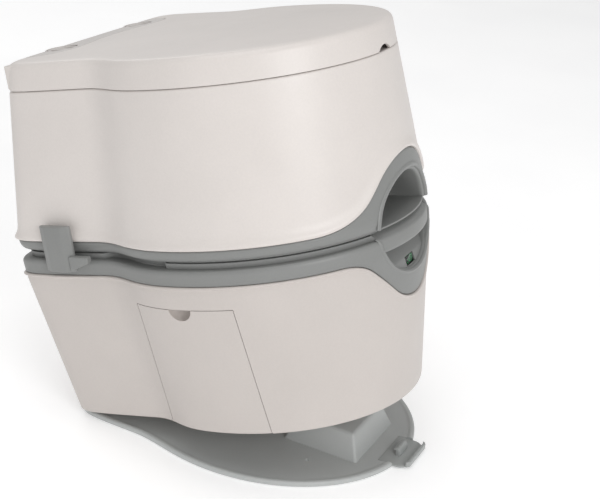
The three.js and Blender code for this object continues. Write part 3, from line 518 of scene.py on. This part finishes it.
def trim_columns(start, side):
    """A trim's columns, which of them pass through the eye, and the eye's edge there: upper 1, lower -1."""
    t = (1 - np.cos(np.linspace(0, math.pi, 90))) / 2
    eye, edge = eye_turns(side * (start + (math.pi - 2 * start) * t))
    beside = np.linspace(math.pi - 0.95, eye.min(), 24)[:-1]
    turns = side_turns(np.concatenate([beside, eye, 2 * math.pi - beside[::-1]]))
    return turns, np.isin(turns, eye), edge


def upper_trim():
    turns, within, edge = trim_columns(math.asin((UPPER_BAND - EYE_CENTRE) / EYE_Z), 1)
    low = np.full(len(turns), UPPER_BAND)
    low[within] = edge
    high = edge_heights(turns, ARCH, 0)
    rows = []
    for deep, height in ((14.0, 223.8), (9.8, 223.8), (9.6, 225.2), (7.6, 225.5)):
        rows.append(wall(turns, np.where(within, low, height), np.where(within, 3.6, deep)))
    for s, inset in ((0.0, 1.3), (0.25, 0.6), (0.8, 0.12)):
        rows.append(wall(turns, low + s, band_inset(low + s) + inset))
    a, b = low + 1.4, high - 2.2
    rows += [wall(turns, a + (b - a) * u, band_inset(a + (b - a) * u)) for u in np.linspace(0, 1, 14)]
    for s, inset in ((1.3, 0.1), (0.6, 0.4), (0.15, 1.0), (0.0, 2.0)):
        rows.append(wall(turns, high - s, 0.15 + inset))
    rows.append(wall(turns, high, 3.8))
    rows.append(wall(turns, np.where(within, (low + high) / 2, high), np.where(within, 3.6, 14.0)))
    return grid("upper_trim_ring", rows)


def lower_trim():
    turns, within, edge = trim_columns(math.asin((EYE_CENTRE - BAND_TOP) / EYE_Z), -1)
    high = np.full(len(turns), BAND_TOP)
    high[within] = edge
    low = edge_heights(turns, LOBE, 0)
    side_x, side_y, _ = wall(turns, 200.0, 0).T
    slotted = (side_y > 0) & (side_y < 97) & (np.abs(side_x) > 120)
    neck = np.where(slotted, 15.0, 8.0)
    rows = [wall(turns, low + s, inset) for s, inset in ((0, 6.0), (0, 2.0), (0.15, 1.1), (0.7, 0.4 + 0.15))]
    a, b = low + 1.6, high - 1.6
    rows += [wall(turns, a + (b - a) * u, lower_inset(a + (b - a) * u)) for u in np.linspace(0, 1, 22)]
    for s, inset in ((0.8, 0.35), (0.25, 0.9), (0.0, 1.6)):
        rows.append(wall(turns, high - s, lower_inset(high - s) + np.where(within, inset, 0)))
    for height, deep in ((216.0, 6.4), (216.8, None), (222.4, None), (223.0, 14.0)):
        inset = np.where(within, 3.6, neck + 0.4 if deep is None else np.maximum(deep, neck + 1))
        rows.append(wall(turns, np.where(within, high, height), inset))
    rows.append(wall(turns, np.where(within, (low + high) / 2, 205.0), np.where(within, 3.6, 14.0)))
    return grid("lower_trim_ring", rows)


def pocket_wall_y(z):
    return np.interp(z, [160, 176, 203], [-214.5, -210.5, -187.0])


def hand_cup():
    """The grey cavity behind the handle: rolled steps, deep walls, a flat floor and back."""
    first = math.asin(6.4 / EYE_Z)
    phis = np.linspace(first, math.pi - first, 90)
    rows = []
    lip = [(0.9, 1.6), (0.3, 0.9), (-0.6, 0.55), (-1.6, 1.0), (-2.2, 2.2), (-2.4, 4.0), (-3.0, 4.6),
           (-4.4, 4.9), (-5.2, 6.0), (-5.5, 9.0), (-6.0, 30.0)]
    for grow, depth in lip:
        x, z = (EYE_X + grow) * np.cos(phis), EYE_CENTRE + (EYE_Z + grow) * np.sin(phis)
        rows.append(np.column_stack([x, face_y(x, z) + depth, z]))
    x, z = rows[-1][:, 0], rows[-1][:, 2]
    hollow = [(-172.0, 1.0), (-163.0, 0.985), (-159.2, 0.95), (-158.2, 0.9), (-158.2, 0.6), (-158.2, 0.3),
              (-158.2, 0.02)]
    for y, shrink in hollow:
        rows.append(np.column_stack([x * shrink, np.full(len(x), y), CUP_FLOOR + (z - CUP_FLOOR) * shrink]))
    return modify(grid("hand_cup", rows, closed=False, around=False), "SOLIDIFY", thickness=0.002, offset=1.0)


def cup_floor():
    xs = np.linspace(-61.6, 61.6, 33)
    outline = list(zip(xs, face_y(xs, CUP_FLOOR) + 5.0)) + [(61.6, -158.5), (-61.6, -158.5)]
    return bevelled(prism("cup_floor", outline, CUP_FLOOR - 2.4, CUP_FLOOR), 0.8)


def lower_pocket():
    """The scooped pocket under the handle, with a hole for the level window in its back wall."""
    last = math.asin(5.0 / EYE_Z)
    phis = np.linspace(-math.pi + last, -last, 97)
    rows = []
    # how far in from the eye's edge, what share of the way to the pocket's wall, and how deep beyond that
    steps = [(0.9, 0, 1.6), (0.3, 0, 0.9), (-0.4, 0, 0.55), (-1.0, 0, 1.0), (-1.3, 0.05, 1.8),
             (-1.4, 0.3, 1.2), (-2.0, 0.36, 1.2), (-2.4, 0.42, 1.0), (-2.6, 0.8, 0.0), (-2.9, 0.94, 0.0),
             (-3.4, 1.0, 0.0)]
    for grow, share, depth in steps:
        x, z = (EYE_X + grow) * np.cos(phis), EYE_CENTRE + (EYE_Z + grow) * np.sin(phis)
        front = face_y(x, z, lower_inset(z))
        rows.append(np.column_stack([x, front + depth + (pocket_wall_y(z) - front) * share, z]))
    rim = rows[-1]
    ring = grid("pocket_ring", rows, closed=False, around=False)
    half = rim[: len(rim) // 2 + 1]
    levels = np.unique(np.round(np.concatenate([half[:, 2], WINDOW_Z]), 4))
    width = np.interp(levels, half[::-1, 2], -half[::-1, 0])
    vertices, faces = [], []
    beside, across = 6, 3  # steps on each side of the window and over it
    count = beside + across + beside + 1
    for z, w in zip(levels, width):
        inner = min(WINDOW_HALF, w)
        left, right = np.linspace(-w, -inner, beside + 1), np.linspace(inner, w, beside + 1)
        line = np.concatenate([left, np.linspace(-inner, inner, across + 1)[1:-1], right])
        vertices += [(x, pocket_wall_y(z), z) for x in line]
    for k in range(len(levels) - 1):
        at_window = WINDOW_Z[0] - 0.1 < levels[k] < WINDOW_Z[1] - 0.1
        for i in range(count - 1):
            if at_window and beside <= i < beside + across:
                continue
            a, b = k * count + i, (k + 1) * count + i
            faces.append((a, a + 1, b + 1, b))
    back = make("pocket_back", vertices, faces)
    join([ring, back])
    weld(ring, 0.00004)
    return modify(ring, "SOLIDIFY", thickness=0.0018, offset=1.0)


def join(objects):
    first = objects[0]
    with bpy.context.temp_override(active_object=first, selected_editable_objects=objects, object=first):
        bpy.ops.object.join()
    return first


def weld(obj, distance):
    work = bmesh.new()
    work.from_mesh(obj.data)
    bmesh.ops.remove_doubles(work, verts=work.verts, dist=distance)
    bmesh.ops.recalc_face_normals(work, faces=work.faces)
    work.to_mesh(obj.data)
    work.free()


def handle_bar():
    """The valve's grip: it fills the eye from side to side and its front carries the band's curve on."""
    section = [(199.4, 9.0), (199.4, 4.2), (199.9, 2.4), (201.2, 1.5), (203.5, 1.2), (214.5, 1.2),
               (216.2, 1.6), (217.2, 2.7), (218.0, 4.4), (224.0, 12.2), (224.4, 13.6), (224.2, 15.2),
               (223.2, 16.0), (201.0, 16.0), (199.7, 15.2), (199.4, 13.6)]
    rows = []
    for z, inset in section:
        half = EYE_X * math.sqrt(1 - ((z - EYE_CENTRE) / EYE_Z) ** 2) - 1.2
        xs = np.linspace(-half, half, 61)
        rows.append(np.column_stack([xs, face_y(xs, z, inset), np.full(61, z)]))
    bar = bevelled(filled(grid("handle_bar", rows, around=False)), 0.9, 3, 50)
    stem = bevelled(block("handle_stem", -18, 18, -213, -195.4, 204, 212), 0.8)
    return join([bar, stem])


def span(near, far, side):
    """The low and high x of a span on one side."""
    return sorted((near * side, far * side))


# ---------- top: lid, deck and seat, drawn in plan ----------
TOP_FORM = [(416.2, 0.0), (440.6, 0.0), (443.0, 0.4), (445.0, 1.5), (446.5, 3.1), (447.4, 5.2), (447.8, 7.6),
            (448.2, 14.0), (448.6, 22.0), (448.95, 32.0), (449.3, 43.0), (449.7, 57.0), (450.05, 72.0),
            (450.4, 90.0), (450.7, 110.0), (450.9, 130.0), (451.0, 150.0), (451.0, 168.0)]


def plan_radius(dx, dy, z, inset):
    side, front, _, _ = lean(z)
    ahead = 1 / np.hypot(dx / (HALF_WIDTH - side - inset), dy / (FRONT_REACH - front - inset))
    return np.where(dy <= 0, ahead, rear_radius(dx, np.maximum(dy, 1e-9), z, inset))


def top_height(points):
    """Height of the lid's and deck's skin over points of the plan; NaN outside its edge."""
    p = np.asarray(points, float)
    radius = np.maximum(np.hypot(p[:, 0], p[:, 1]), 1e-6)
    dx, dy = p[:, 0] / radius, p[:, 1] / radius
    form = np.array(TOP_FORM)
    steps = np.arange(len(form))
    low, high = np.zeros(len(p)), np.full(len(p), len(form) - 1.0)
    for _ in range(40):
        middle = (low + high) / 2
        z, inset = np.interp(middle, steps, form[:, 0]), np.interp(middle, steps, form[:, 1])
        outside = plan_radius(dx, dy, z, inset) > radius
        low, high = np.where(outside, middle, low), np.where(outside, high, middle)
    return np.interp(low, steps, form[:, 0])


def spline(points, steps=10):
    """A Catmull-Rom curve through points."""
    p = np.asarray(points, float)
    p = np.vstack([2 * p[0] - p[1], p, 2 * p[-1] - p[-2]])
    out = []
    for k in range(1, len(p) - 2):
        for t in np.arange(steps) / steps:
            a, b, c, d = p[k - 1:k + 3]
            out.append(0.5 * (2 * b + (c - a) * t + (2 * a - 5 * b + 4 * c - d) * t ** 2
                              + (3 * b - a - 3 * c + d) * t ** 3))
    out.append(p[-2])
    return np.array(out)


def beside_line(line, distance):
    """A plan line moved sideways."""
    along = np.gradient(line, axis=0)
    normal = np.column_stack([along[:, 1], -along[:, 0]])
    normal /= np.linalg.norm(normal, axis=1)[:, None]
    return line + normal * distance


def deck_line(grow):
    """The line between lid and deck, left to right."""
    half = np.vstack([spline(DECK_LINE[:7], 10), [DECK_LINE[7]]])
    full = np.vstack([(half * [-1, 1])[1:][::-1], half])
    return beside_line(full, grow) if grow else full


def inside(polygon, points):
    """Which points lie inside a closed polygon."""
    x, y = points[:, 0], points[:, 1]
    result = np.zeros(len(points), bool)
    a, b = polygon, np.roll(polygon, -1, 0)
    for (ax, ay), (bx, by) in zip(a, b):
        crosses = (ay > y) != (by > y)
        with np.errstate(divide="ignore", invalid="ignore"):
            result ^= crosses & (x < (bx - ax) * (y - ay) / (by - ay + 1e-12) + ax)
    return result


def distance_to(line, points):
    best = np.full(len(points), 1e9)
    for a, b in zip(line[:-1], line[1:]):
        ab = b - a
        t = np.clip(((points - a) @ ab) / (ab @ ab), 0, 1)
        best = np.minimum(best, np.hypot(*(points - a - t[:, None] * ab).T))
    return best


def rounded(distance, radius):
    """How far an edge of this radius has dropped at a distance in from it."""
    d = np.clip(distance, 0, radius)
    return radius - np.sqrt(np.maximum(radius ** 2 - (radius - d) ** 2, 0))


def plan_skin(name, for_lid, edge_radius, thickness):
    """The lid's or the deck's top skin: a height over the plan, cut along the line between them."""
    loops = []
    full = np.radians(np.concatenate([np.arange(0, 60, 1.5), np.arange(60, 300, 2.5),
                                      np.arange(300, 360, 1.5)]))
    dx, dy = -np.sin(full), np.cos(full)
    for z, inset in TOP_FORM:
        r = plan_radius(dx, dy, np.full(len(full), z), np.full(len(full), inset))
        loops.append((np.column_stack([r * dx, r * dy]), True))
    gap = 0.8 if for_lid else 0.0
    border = deck_line(gap)
    sign = 1 if for_lid else -1
    for offset in (0, 0.08, 0.25, 0.5, 0.8, 1.0):
        loops.append((deck_line(gap + sign * offset * edge_radius), False))
    points, edges = [], []
    for loop, shut in loops:
        start = len(points)
        points += [Vector(p) for p in loop]
        count = len(loop)
        edges += [(start + i, start + (i + 1) % count) for i in range(count if shut else count - 1)]
    vertices, _, faces, *_ = delaunay_2d_cdt(points, edges, [], 0, 1e-4)
    plan = np.array([tuple(v) for v in vertices])
    faces = np.array([tuple(f) for f in faces if len(f) == 3])
    centre = plan[faces].mean(1)
    outer = loops[0][0]
    on_deck = inside(np.vstack([border, [[border[-1, 0], 260], [border[0, 0], 260]]]), centre)
    faces = faces[inside(outer, centre) & (~on_deck if for_lid else on_deck)]
    used = np.unique(faces)
    renumber = -np.ones(len(plan), int)
    renumber[used] = np.arange(len(used))
    plan, faces = plan[used], renumber[faces]
    height = top_height(plan) - rounded(distance_to(border, plan), edge_radius)
    skin = make(name, np.column_stack([plan, height]), [tuple(f) for f in faces.tolist()])
    return modify(skin, "SOLIDIFY", thickness=thickness / 1000, offset=-1.0, use_even_offset=True,
                  thickness_clamp=1.0)


def lid():
    skin = plan_skin("lid_top", True, 1.5, 3.2)
    heel = 8.3
    arc = [(HINGE_Y + heel * math.sin(t), HINGE_Z - heel * math.cos(t))
           for t in np.linspace(0, math.pi / 2, 12)]
    behind = [(HINGE_Y, 405)] + arc + [(HINGE_Y + heel, 470), (240, 470), (240, 405)]
    cut(skin, prism("tool", behind, -210, 210, "x"))
    cut(skin, prism("tool", circle(0, 402.8, 20, 64), -240, -190, "y"))
    lugs = [bevelled(block("lug", *span(151, 162, side), 182.5, 196, 417.5, 445), 1.2) for side in (1, -1)]
    return join([skin] + lugs)


def deck():
    skin = plan_skin("deck_top", False, 1.4, 3.2)
    wells = ((-CAP_X, FILL_RADIUS + CAP_ROOM), (CAP_X, PUMP_RADIUS + CAP_ROOM))
    for x, radius in wells:
        cut(skin, prism("tool", circle(x, CAP_Y, radius), 430, 470))
    for x, radius in wells:
        profile = [(radius, 448.0), (radius + 0.5, 448.5), (radius + 1.6, 448.5), (radius + 2.2, 447.6),
                   (radius + 2.2, 434.0), (radius, 434.0)]
        skin = join([skin, lathe("collar", profile, (x, CAP_Y))])
    return skin


def deck_front():
    """The deck's front wall, which drops from the lid line to the top of the flush tank."""
    line = deck_line(-0.2)
    line = line[line[:, 1] < 198]
    rows = []
    for inward, z in ((0, 416.0), (0, 445.5), (2.4, 445.5), (2.4, 416.0)):
        rows.append(np.column_stack([beside_line(line, -inward), np.full(len(line), z)]))
    return filled(grid("deck_front", rows, closed=True, around=False))


def seat():
    turns = PLAIN_TURNS
    outer = [(419.0, 12.0), (419.0, 9.6), (419.8, 8.8), (421.5, 8.4), (430.5, 8.0), (433.4, 8.8),
             (435.2, 10.8), (435.9, 13.8), (436.0, 18.0)]
    rows = [wall(turns, z, inset) for z, inset in outer]
    rim = rows[-1]
    inner = [(127.5, 435.9), (124.6, 435.0), (122.0, 433.2), (120.0, 430.0), (118.3, 424.0), (118.0, 420.5),
             (118.8, 419.2), (121.0, 419.0)]
    first = ellipse_row(rim, (0, -30), 130, 144, 436.0)
    rows += plan_towards(rim, first, 5) + [first]
    rows += [ellipse_row(rim, (0, -30), a, a + 14, z) for a, z in inner]
    rows += plan_towards(rows[-1], rows[0], 3)
    ring = grid("seat_ring", rows)
    cut(ring, block("tool", -210, 210, 138, 260, 400, 450))
    for side in (-1, 1):
        ear = prism("ear", [(132, 419.6), (HINGE_Y, HINGE_Z - 4.8), (HINGE_Y + 4.8, HINGE_Z),
                            (HINGE_Y, HINGE_Z + 4.8), (132, 430)], *span(132, 143, side), "x")
        ring = join([ring, bevelled(ear, 1.5)])
    return ring


# ---------- small parts ----------
def latch(side):
    plan = [(184, 124), (188.0, 124.3), (194, 134), (194, 157), (189.5, 167), (185.2, 167)]
    plate_shape = bevelled(prism("latch", [(side * x, y) for x, y in plan], 206.3, 261.8), 1.5, 4, 20)
    wedge = [(129, 208), (129, 226), (101, 226), (101, 219)]
    tab = bevelled(prism("tab", wedge, *span(185, 193, side), "x"), 1.5, 4, 20)
    hook = bevelled(block("hook", *span(175.5, 185, side), 131, 143, 209.6, 214.4), 0.7)
    room = [(170, 156.9), (186.3, 156.9), (189.7, 160.3), (188.0, 164.9), (188.0, 175), (170, 175)]
    low, high = KNUCKLE_Z[0] - 0.6, KNUCKLE_Z[1] + 0.6
    cut(plate_shape, prism("tool", [(side * x, y) for x, y in room], low, high))
    cut(plate_shape, prism("tool", circle(LATCH_PIN_X * side, LATCH_PIN_Y, 2.5, 24), low, high))
    return join([plate_shape, tab, hook])


def knuckle(side):
    ring = prism("knuckle", circle(side * LATCH_PIN_X, LATCH_PIN_Y, 2.2, 32), *KNUCKLE_Z)
    shape = [(176, 157.4), (186, 157.4), (189.0, 160.7), (188.0, 164.2), (186.4, 162.4), (176, 161.8)]
    root = prism("root", [(side * x, y) for x, y in shape], *KNUCKLE_Z)
    return join([bevelled(ring, 0.4), bevelled(root, 0.4)])


def grip(name, x, radius, low):
    """A dished disc that starts at height low, with a bar across it to turn or pull it by."""
    profile = [(0.3, low), (radius - 0.6, low), (radius, low + 0.6), (radius, 447.0), (radius - 0.9, 447.9),
               (radius - 2.4, 447.9), (radius - 3.2, 447.2), (radius - 3.6, 444.2), (0.3, 444.2)]
    reach = radius - 3
    bar = bevelled(block("bar", x - 2.8, x + 2.8, CAP_Y - reach, CAP_Y + reach, 443, 447.8), 1.2)
    return join([lathe(name, profile, (x, CAP_Y)), bar])


def bowl():
    key = [(53, 53, -5, 217), (53, 53, -5, 244), (70, 73, -8, 272), (88, 94, -13, 300), (103, 112, -19, 333),
           (112, 124, -24, 365), (121, 134, -28.5, 392), (128, 142, -32, 413)]
    line = spline(key, 5)
    turns = np.linspace(0, 2 * math.pi, 96, endpoint=False)

    def ring(a, b, y, z):
        return np.column_stack([a * np.cos(turns), y + b * np.sin(turns), np.full(len(turns), z)])
    rows = [ring(a, b, y, z) for a, b, y, z in line]
    rows += [ring(128.5, 142.5, -32, 415.8), ring(139.0, 153.0, -32, 415.8), ring(140.0, 154.0, -32, 416.6),
             ring(139.4, 153.4, -32, 417.8), ring(138.0, 152.0, -32, 418.2), ring(129.0, 143.0, -32, 418.2),
             ring(126.4, 140.4, -32, 417.4), ring(125.2, 139.2, -32, 415.0)]
    rows += [ring(a - 3, b - 3, y, z) for a, b, y, z in line[::-1]]
    return grid("bowl_shell", rows)


def paper_roll():
    profile = [(20.0, -61.0), (46.9, -61.0), (47.5, -60.4), (47.5, 34.4), (46.9, 35.0), (20.0, 35.0)]
    return lathe("paper_roll_wound", profile, (ROLL_X, ROLL_Z), "y", 96)


def spout():
    profile = [(16, -70), (18.4, -70), (19, -69.4), (19, -44.4), (21.5, -44), (21.5, -41), (19, -40.6),
               (19, 90), (16, 90)]
    barrel = lathe("spout_tube", profile, (SPOUT_Y, SPOUT_Z), "x", 64)
    neck = lathe("spout_neck", [(16, 152), (19, 152), (19, 205), (16, 205)], (72, SPOUT_Y), "z", 64)
    return join([barrel, neck])


def spout_cap():
    profile = [(0.3, -76), (19, -76), (21.2, -75), (22, -73.4), (22, -50.6), (21.4, -50), (19.4, -50),
               (19.4, -73), (0.3, -73)]
    pieces = [lathe("spout_cap_shell", profile, (SPOUT_Y, SPOUT_Z), "x", 64)]
    half = 0.8
    for t in np.arange(0, 2 * math.pi, math.pi / 12):
        y, z = SPOUT_Y + 21.4 * math.cos(t), SPOUT_Z + 21.4 * math.sin(t)
        pieces.append(bevelled(block("rib", -72, -53, y - half, y + half, z - half, z + half), 0.4))
    return join(pieces)


# ---------- floor plate, drawn in the row frame ----------
def plate_row(turns, inset, z):
    """Points round the plate's edge, this far in from it and this high."""
    inset, z = np.broadcast_arrays(np.full(len(turns), 1.0) * inset, np.full(len(turns), 1.0) * z)
    dx, dy = -np.sin(turns), np.cos(turns)
    width = PLATE_HALF_WIDTH - inset
    oval = 1 / np.hypot(dx / width, dy / (PLATE_OVAL - inset))
    flank = (PLATE_FLANK - inset) / np.maximum(np.abs(dx), 1e-3)
    back = (PLATE_REAR - inset) / np.maximum(dy, 1e-9)
    radius = creased(oval, squared(flank, back))
    x = np.where(dy <= 0, width * dx, radius * dx)
    y = PLATE_Y + np.where(dy <= 0, (PLATE_FRONT - inset) * dy, radius * dy)
    return np.stack([x, y, z], -1)


def floor_plate():
    turns = PLAIN_TURNS
    form = [(135, 0), (60, 0), (6, 0), (2.4, 0), (1.2, 0.3), (0.5, 0.9), (0.1, 1.8), (0, 3.0), (0, 4.8),
            (0.3, 5.8), (0.9, 6.5), (1.8, 6.95), (2.6, 7.0), (4.4, 7.0), (5.4, 6.8), (6.4, 6.2), (7.6, 5.5),
            (9.6, 4.9), (13, 4.3), (18, 3.8), (25, 3.3), (32, 3.05), (60, 3.0), (100, 3.0), (135, 3.0)]
    rows = [plate_row(turns, inset, z) for inset, z in form]
    middle = np.array([0.0, 20.0, 0.0])
    rows = [middle + (rows[0] - middle) * 0.05] + rows
    rows.append(rows[0] + np.array([0, 0, 3.0]))
    body = filled(grid("plate_body", rows, closed=False, place=plate_to_row))
    cut(body, block("tool", -130, 130, 197, 230, 5.2, 12, plate_to_row))
    base = [(-55, -149), (55, -149), (55, -45), (-55, -45)]
    top = [(-42, -136), (42, -136), (42, -58), (-42, -58)]
    vertices = [(x, y, 1.5) for x, y in base] + [(x, y, 35.5) for x, y in top]
    faces = [(3, 2, 1, 0), (4, 5, 6, 7)] + [(i, (i + 1) % 4, 4 + (i + 1) % 4, 4 + i) for i in range(4)]
    boss = bevelled(make("boss", vertices, faces, plate_to_row), 4.0, 5, 20)
    cut(body, boss, operation="UNION")
    cut(body, block("tool", -32.4, 32.4, -230, -167.6, 1.6, 30, plate_to_row))
    countersink = [(2.5, 2.2), (2.5, 2.6), (4.8, 3.9), (5.6, 4.1), (6.6, 4.1), (7.2, 3.6), (7.4, 2.6)]
    for x, y in SCREWS:
        cut(body, prism("tool", circle(x, y, 2.4, 24), -1, 9, "z", plate_to_row))
        body = join([body, lathe("screw_ring", countersink, (x, y), "z", 40, plate_to_row)])
    for x in (-DOCK_X, DOCK_X):
        outline = circle(DOCK_Y, DOCK_ROW_Z, DOCK_RADIUS, 40)
        low, high = x - DOCK_HALF, x + DOCK_HALF
        lug = bevelled(prism("lug", outline, low, high, "x", plate_to_row), 0.7)
        foot = block("foot", low, high, DOCK_Y - 5, DOCK_Y + 5, 1, DOCK_ROW_Z, plate_to_row)
        body = join([body, lug, foot])
    return body


def release_lever():
    half = [(22, -204.5), (27.5, -200.5), (30.6, -196.5), (32, -192), (32, -168)]
    outline = [(-x, y) for x, y in half[::-1]] + half
    tongue = bevelled(prism("tongue", outline, 2.2, 4.6, "z", plate_to_row), 0.6)
    lip_line = [(-24, -207), (24, -207), (28, -203.6), (28, -202), (24, -203.2), (-24, -203.2), (-28, -202),
                (-28, -203.6)]
    lip = bevelled(prism("lip", lip_line, 3.4, 10.8, "z", plate_to_row), 1.1, 4, 40)
    hook = [(-188, 4), (-182, 4), (-182, 11.4), (-178, 12), (-182, 14.5), (-185, 14.5), (-188, 9)]
    barb = bevelled(prism("barb", hook, -12, 12, "x", plate_to_row), 0.4)
    return join([tongue, lip, barb])


# ---------- dressing the part ----------
WHITE_UPPER, WHITE_LOWER = (0.7, 0.655, 0.625), (0.585, 0.54, 0.51)
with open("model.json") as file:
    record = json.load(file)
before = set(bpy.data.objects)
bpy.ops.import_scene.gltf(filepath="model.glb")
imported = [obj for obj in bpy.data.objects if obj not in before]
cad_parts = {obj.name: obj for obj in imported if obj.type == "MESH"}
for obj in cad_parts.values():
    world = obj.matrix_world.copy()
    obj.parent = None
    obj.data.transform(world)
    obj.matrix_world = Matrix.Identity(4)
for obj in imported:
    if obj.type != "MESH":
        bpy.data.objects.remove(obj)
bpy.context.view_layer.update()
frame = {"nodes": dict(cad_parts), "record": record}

shell_top = plastic("white_upper", WHITE_UPPER, 0.36)
shell_low = plastic("white_lower", WHITE_LOWER, 0.4)
inner_white = plastic("white_inner", (0.7, 0.67, 0.65), 0.3)
deck_white = plastic("deck_grey_white", (0.6, 0.57, 0.55), 0.55, 1500.0, 0.00006, 0.5)
trim_grey = plastic("trim_grey", (0.238, 0.242, 0.236), 0.42, 1900.0, 0.00003, 0.35)
plate_grey = plastic("plate_grey", (0.47, 0.485, 0.478), 0.45, 1700.0, 0.00004, 0.35)
lever_grey = plastic("lever_grey", (0.36, 0.375, 0.368), 0.42, 1700.0, 0.00004, 0.35)
green = plastic("indicator_green", (0.008, 0.21, 0.06), 0.35)
black_rubber = rubber("rubber")
pin_steel = steel("steel_pins")
window = clear("window_clear")
paper = tissue("paper")

show(upper_shell(), "flush", shell_top, ["flush_tank_shell"])
show(lower_shell(), "tank", shell_low, ["waste_tank", "paper_niche"])
show(door_panel(), "door", shell_low, ["paper_door"])
show(upper_trim(), "flush", trim_grey, ["upper_trim"], 50)
show(hand_cup(), "flush", trim_grey, (), 50)
show(cup_floor(), "flush", trim_grey)
show(lower_trim(), "tank", trim_grey, ["lower_trim"], 50)
show(lower_pocket(), "tank", trim_grey, (), 50)
show(handle_bar(), "valve", trim_grey, ["blade_handle"])
show(lid(), "lid", shell_top, ["lid"], 40)
show(deck(), "flush", deck_white, ["rear_deck"], 40)
show(deck_front(), "flush", deck_white)
show(seat(), "seat", inner_white, ["seat"], 40)
show(bowl(), "flush", inner_white, ["bowl"], 40)
show(paper_roll(), "roll", paper, ["paper_roll"], 40)
show(spout(), "tank", trim_grey, ["pour_spout"], 40)
show(spout_cap(), "spout_cap", trim_grey, ["spout_cap"], 40)
cap = grip("fill_cap_grip", -CAP_X, FILL_RADIUS, 442)
show(cap, "fill_cap", deck_white, ["fill_cap"], 40)
knob = grip("pump_grip", CAP_X, PUMP_RADIUS, 436)
show(knob, "pump", deck_white, ["pump_knob"], 40)
for side, word in ((-1, "left"), (1, "right")):
    show(latch(side), f"latch_{word}", trim_grey, [f"latch_{word}"], 20)
    show(knuckle(side), "flush", trim_grey)
show(floor_plate(), "plate", plate_grey, ["floor_plate"], 40)
show(release_lever(), "lever", lever_grey, ["release_lever"])
flag = bevelled(block("flag", -11, 11, -210.8, -196, 165.4, 175.4), 0.4)
show(flag, "float", green, ["level_flag"])
glass = bevelled(block("window_pane", -11.2, 11.2, -212.2, -211.3, 165.4, 175.4), 0.2)
show(glass, "tank", window, ["level_window"])

# CAD pieces that nothing above replaces take these
FINISHES = {"shell_plastic": inner_white, "bowl_plastic": inner_white, "deck_plastic": deck_white,
            "trim_plastic": trim_grey, "plate_plastic": plate_grey, "rubber": black_rubber,
            "steel_pins": pin_steel, "indicator_green": green, "window_clear": window, "paper": paper}
for part in frame["record"]["subparts"]:
    mesh = frame["nodes"][part["node"]].data
    mesh.materials.clear()
    mesh.materials.append(FINISHES[part["material_slot"]])


# ---------- floor, light and camera ----------
def floor():
    m = Nodes("floor_pale")
    m.link(m.ramp(m.noise(3.0), [(0.3, (0.86, 0.86, 0.865, 1)), (0.7, (0.9, 0.9, 0.9, 1))]),
           m.shader.inputs["Base Color"])
    m.shader.inputs["Roughness"].default_value = 0.9
    m.shader.inputs["Emission Color"].default_value = (1, 1, 1, 1)
    m.shader.inputs["Emission Strength"].default_value = 0.28
    ground = make("floor", [(-40000, -40000, 0), (40000, -40000, 0), (40000, 40000, 0), (-40000, 40000, 0)],
                  [(0, 1, 2, 3)], lambda p: plate_to_row(p) - np.array([0, 0, 0.0003]))
    ground.data.materials.append(m.material)


def area_light(name, place, target, size, power, colour=(1, 1, 1)):
    data = bpy.data.lights.new(name, "AREA")
    data.shape, data.size, data.energy, data.color = "DISK", size, power, colour
    lamp = bpy.data.objects.new(name, data)
    bpy.context.scene.collection.objects.link(lamp)
    lamp.location = place
    lamp.rotation_euler = (Vector(target) - Vector(place)).to_track_quat("-Z", "Y").to_euler()


def photo_camera():
    azimuth, elevation, roll = math.radians(-63.508), math.radians(24.411), math.radians(-4.175)
    back = Vector((math.sin(azimuth) * math.cos(elevation), -math.cos(azimuth) * math.cos(elevation),
                   math.sin(elevation)))
    right = (-back).cross(Vector((0, 0, 1))).normalized()
    down = (-back).cross(right)
    across = math.cos(roll) * right + math.sin(roll) * down
    below = -math.sin(roll) * right + math.cos(roll) * down
    data = bpy.data.cameras.new("photo_camera")
    data.sensor_fit, data.sensor_width, data.lens, data.clip_end = "HORIZONTAL", 36.0, 72.04, 200.0
    camera = bpy.data.objects.new("photo_camera", data)
    bpy.context.scene.collection.objects.link(camera)
    turn = Matrix((across, -below, back)).transposed().to_4x4()
    camera.matrix_world = Matrix.Translation((-1.1966, -0.6197, 0.8446)) @ turn
    bpy.context.scene.camera = camera


floor()
area_light("key", (-1.7, -2.4, 1.5), (0, 0, 0.25), 1.6, 34)
area_light("top", (-0.6, 0.2, 3.2), (0, 0, 0.3), 2.4, 27)
area_light("back", (1.8, 2.4, 2.2), (0, 0, 0.3), 2.0, 12)
world = bpy.data.worlds.new("studio")
world.use_nodes = True
world.node_tree.nodes["Background"].inputs["Color"].default_value = (1, 1, 1, 1)
world.node_tree.nodes["Background"].inputs["Strength"].default_value = 0.5
bpy.context.scene.world = world
bpy.context.scene.view_settings.view_transform = "Standard"
photo_camera()
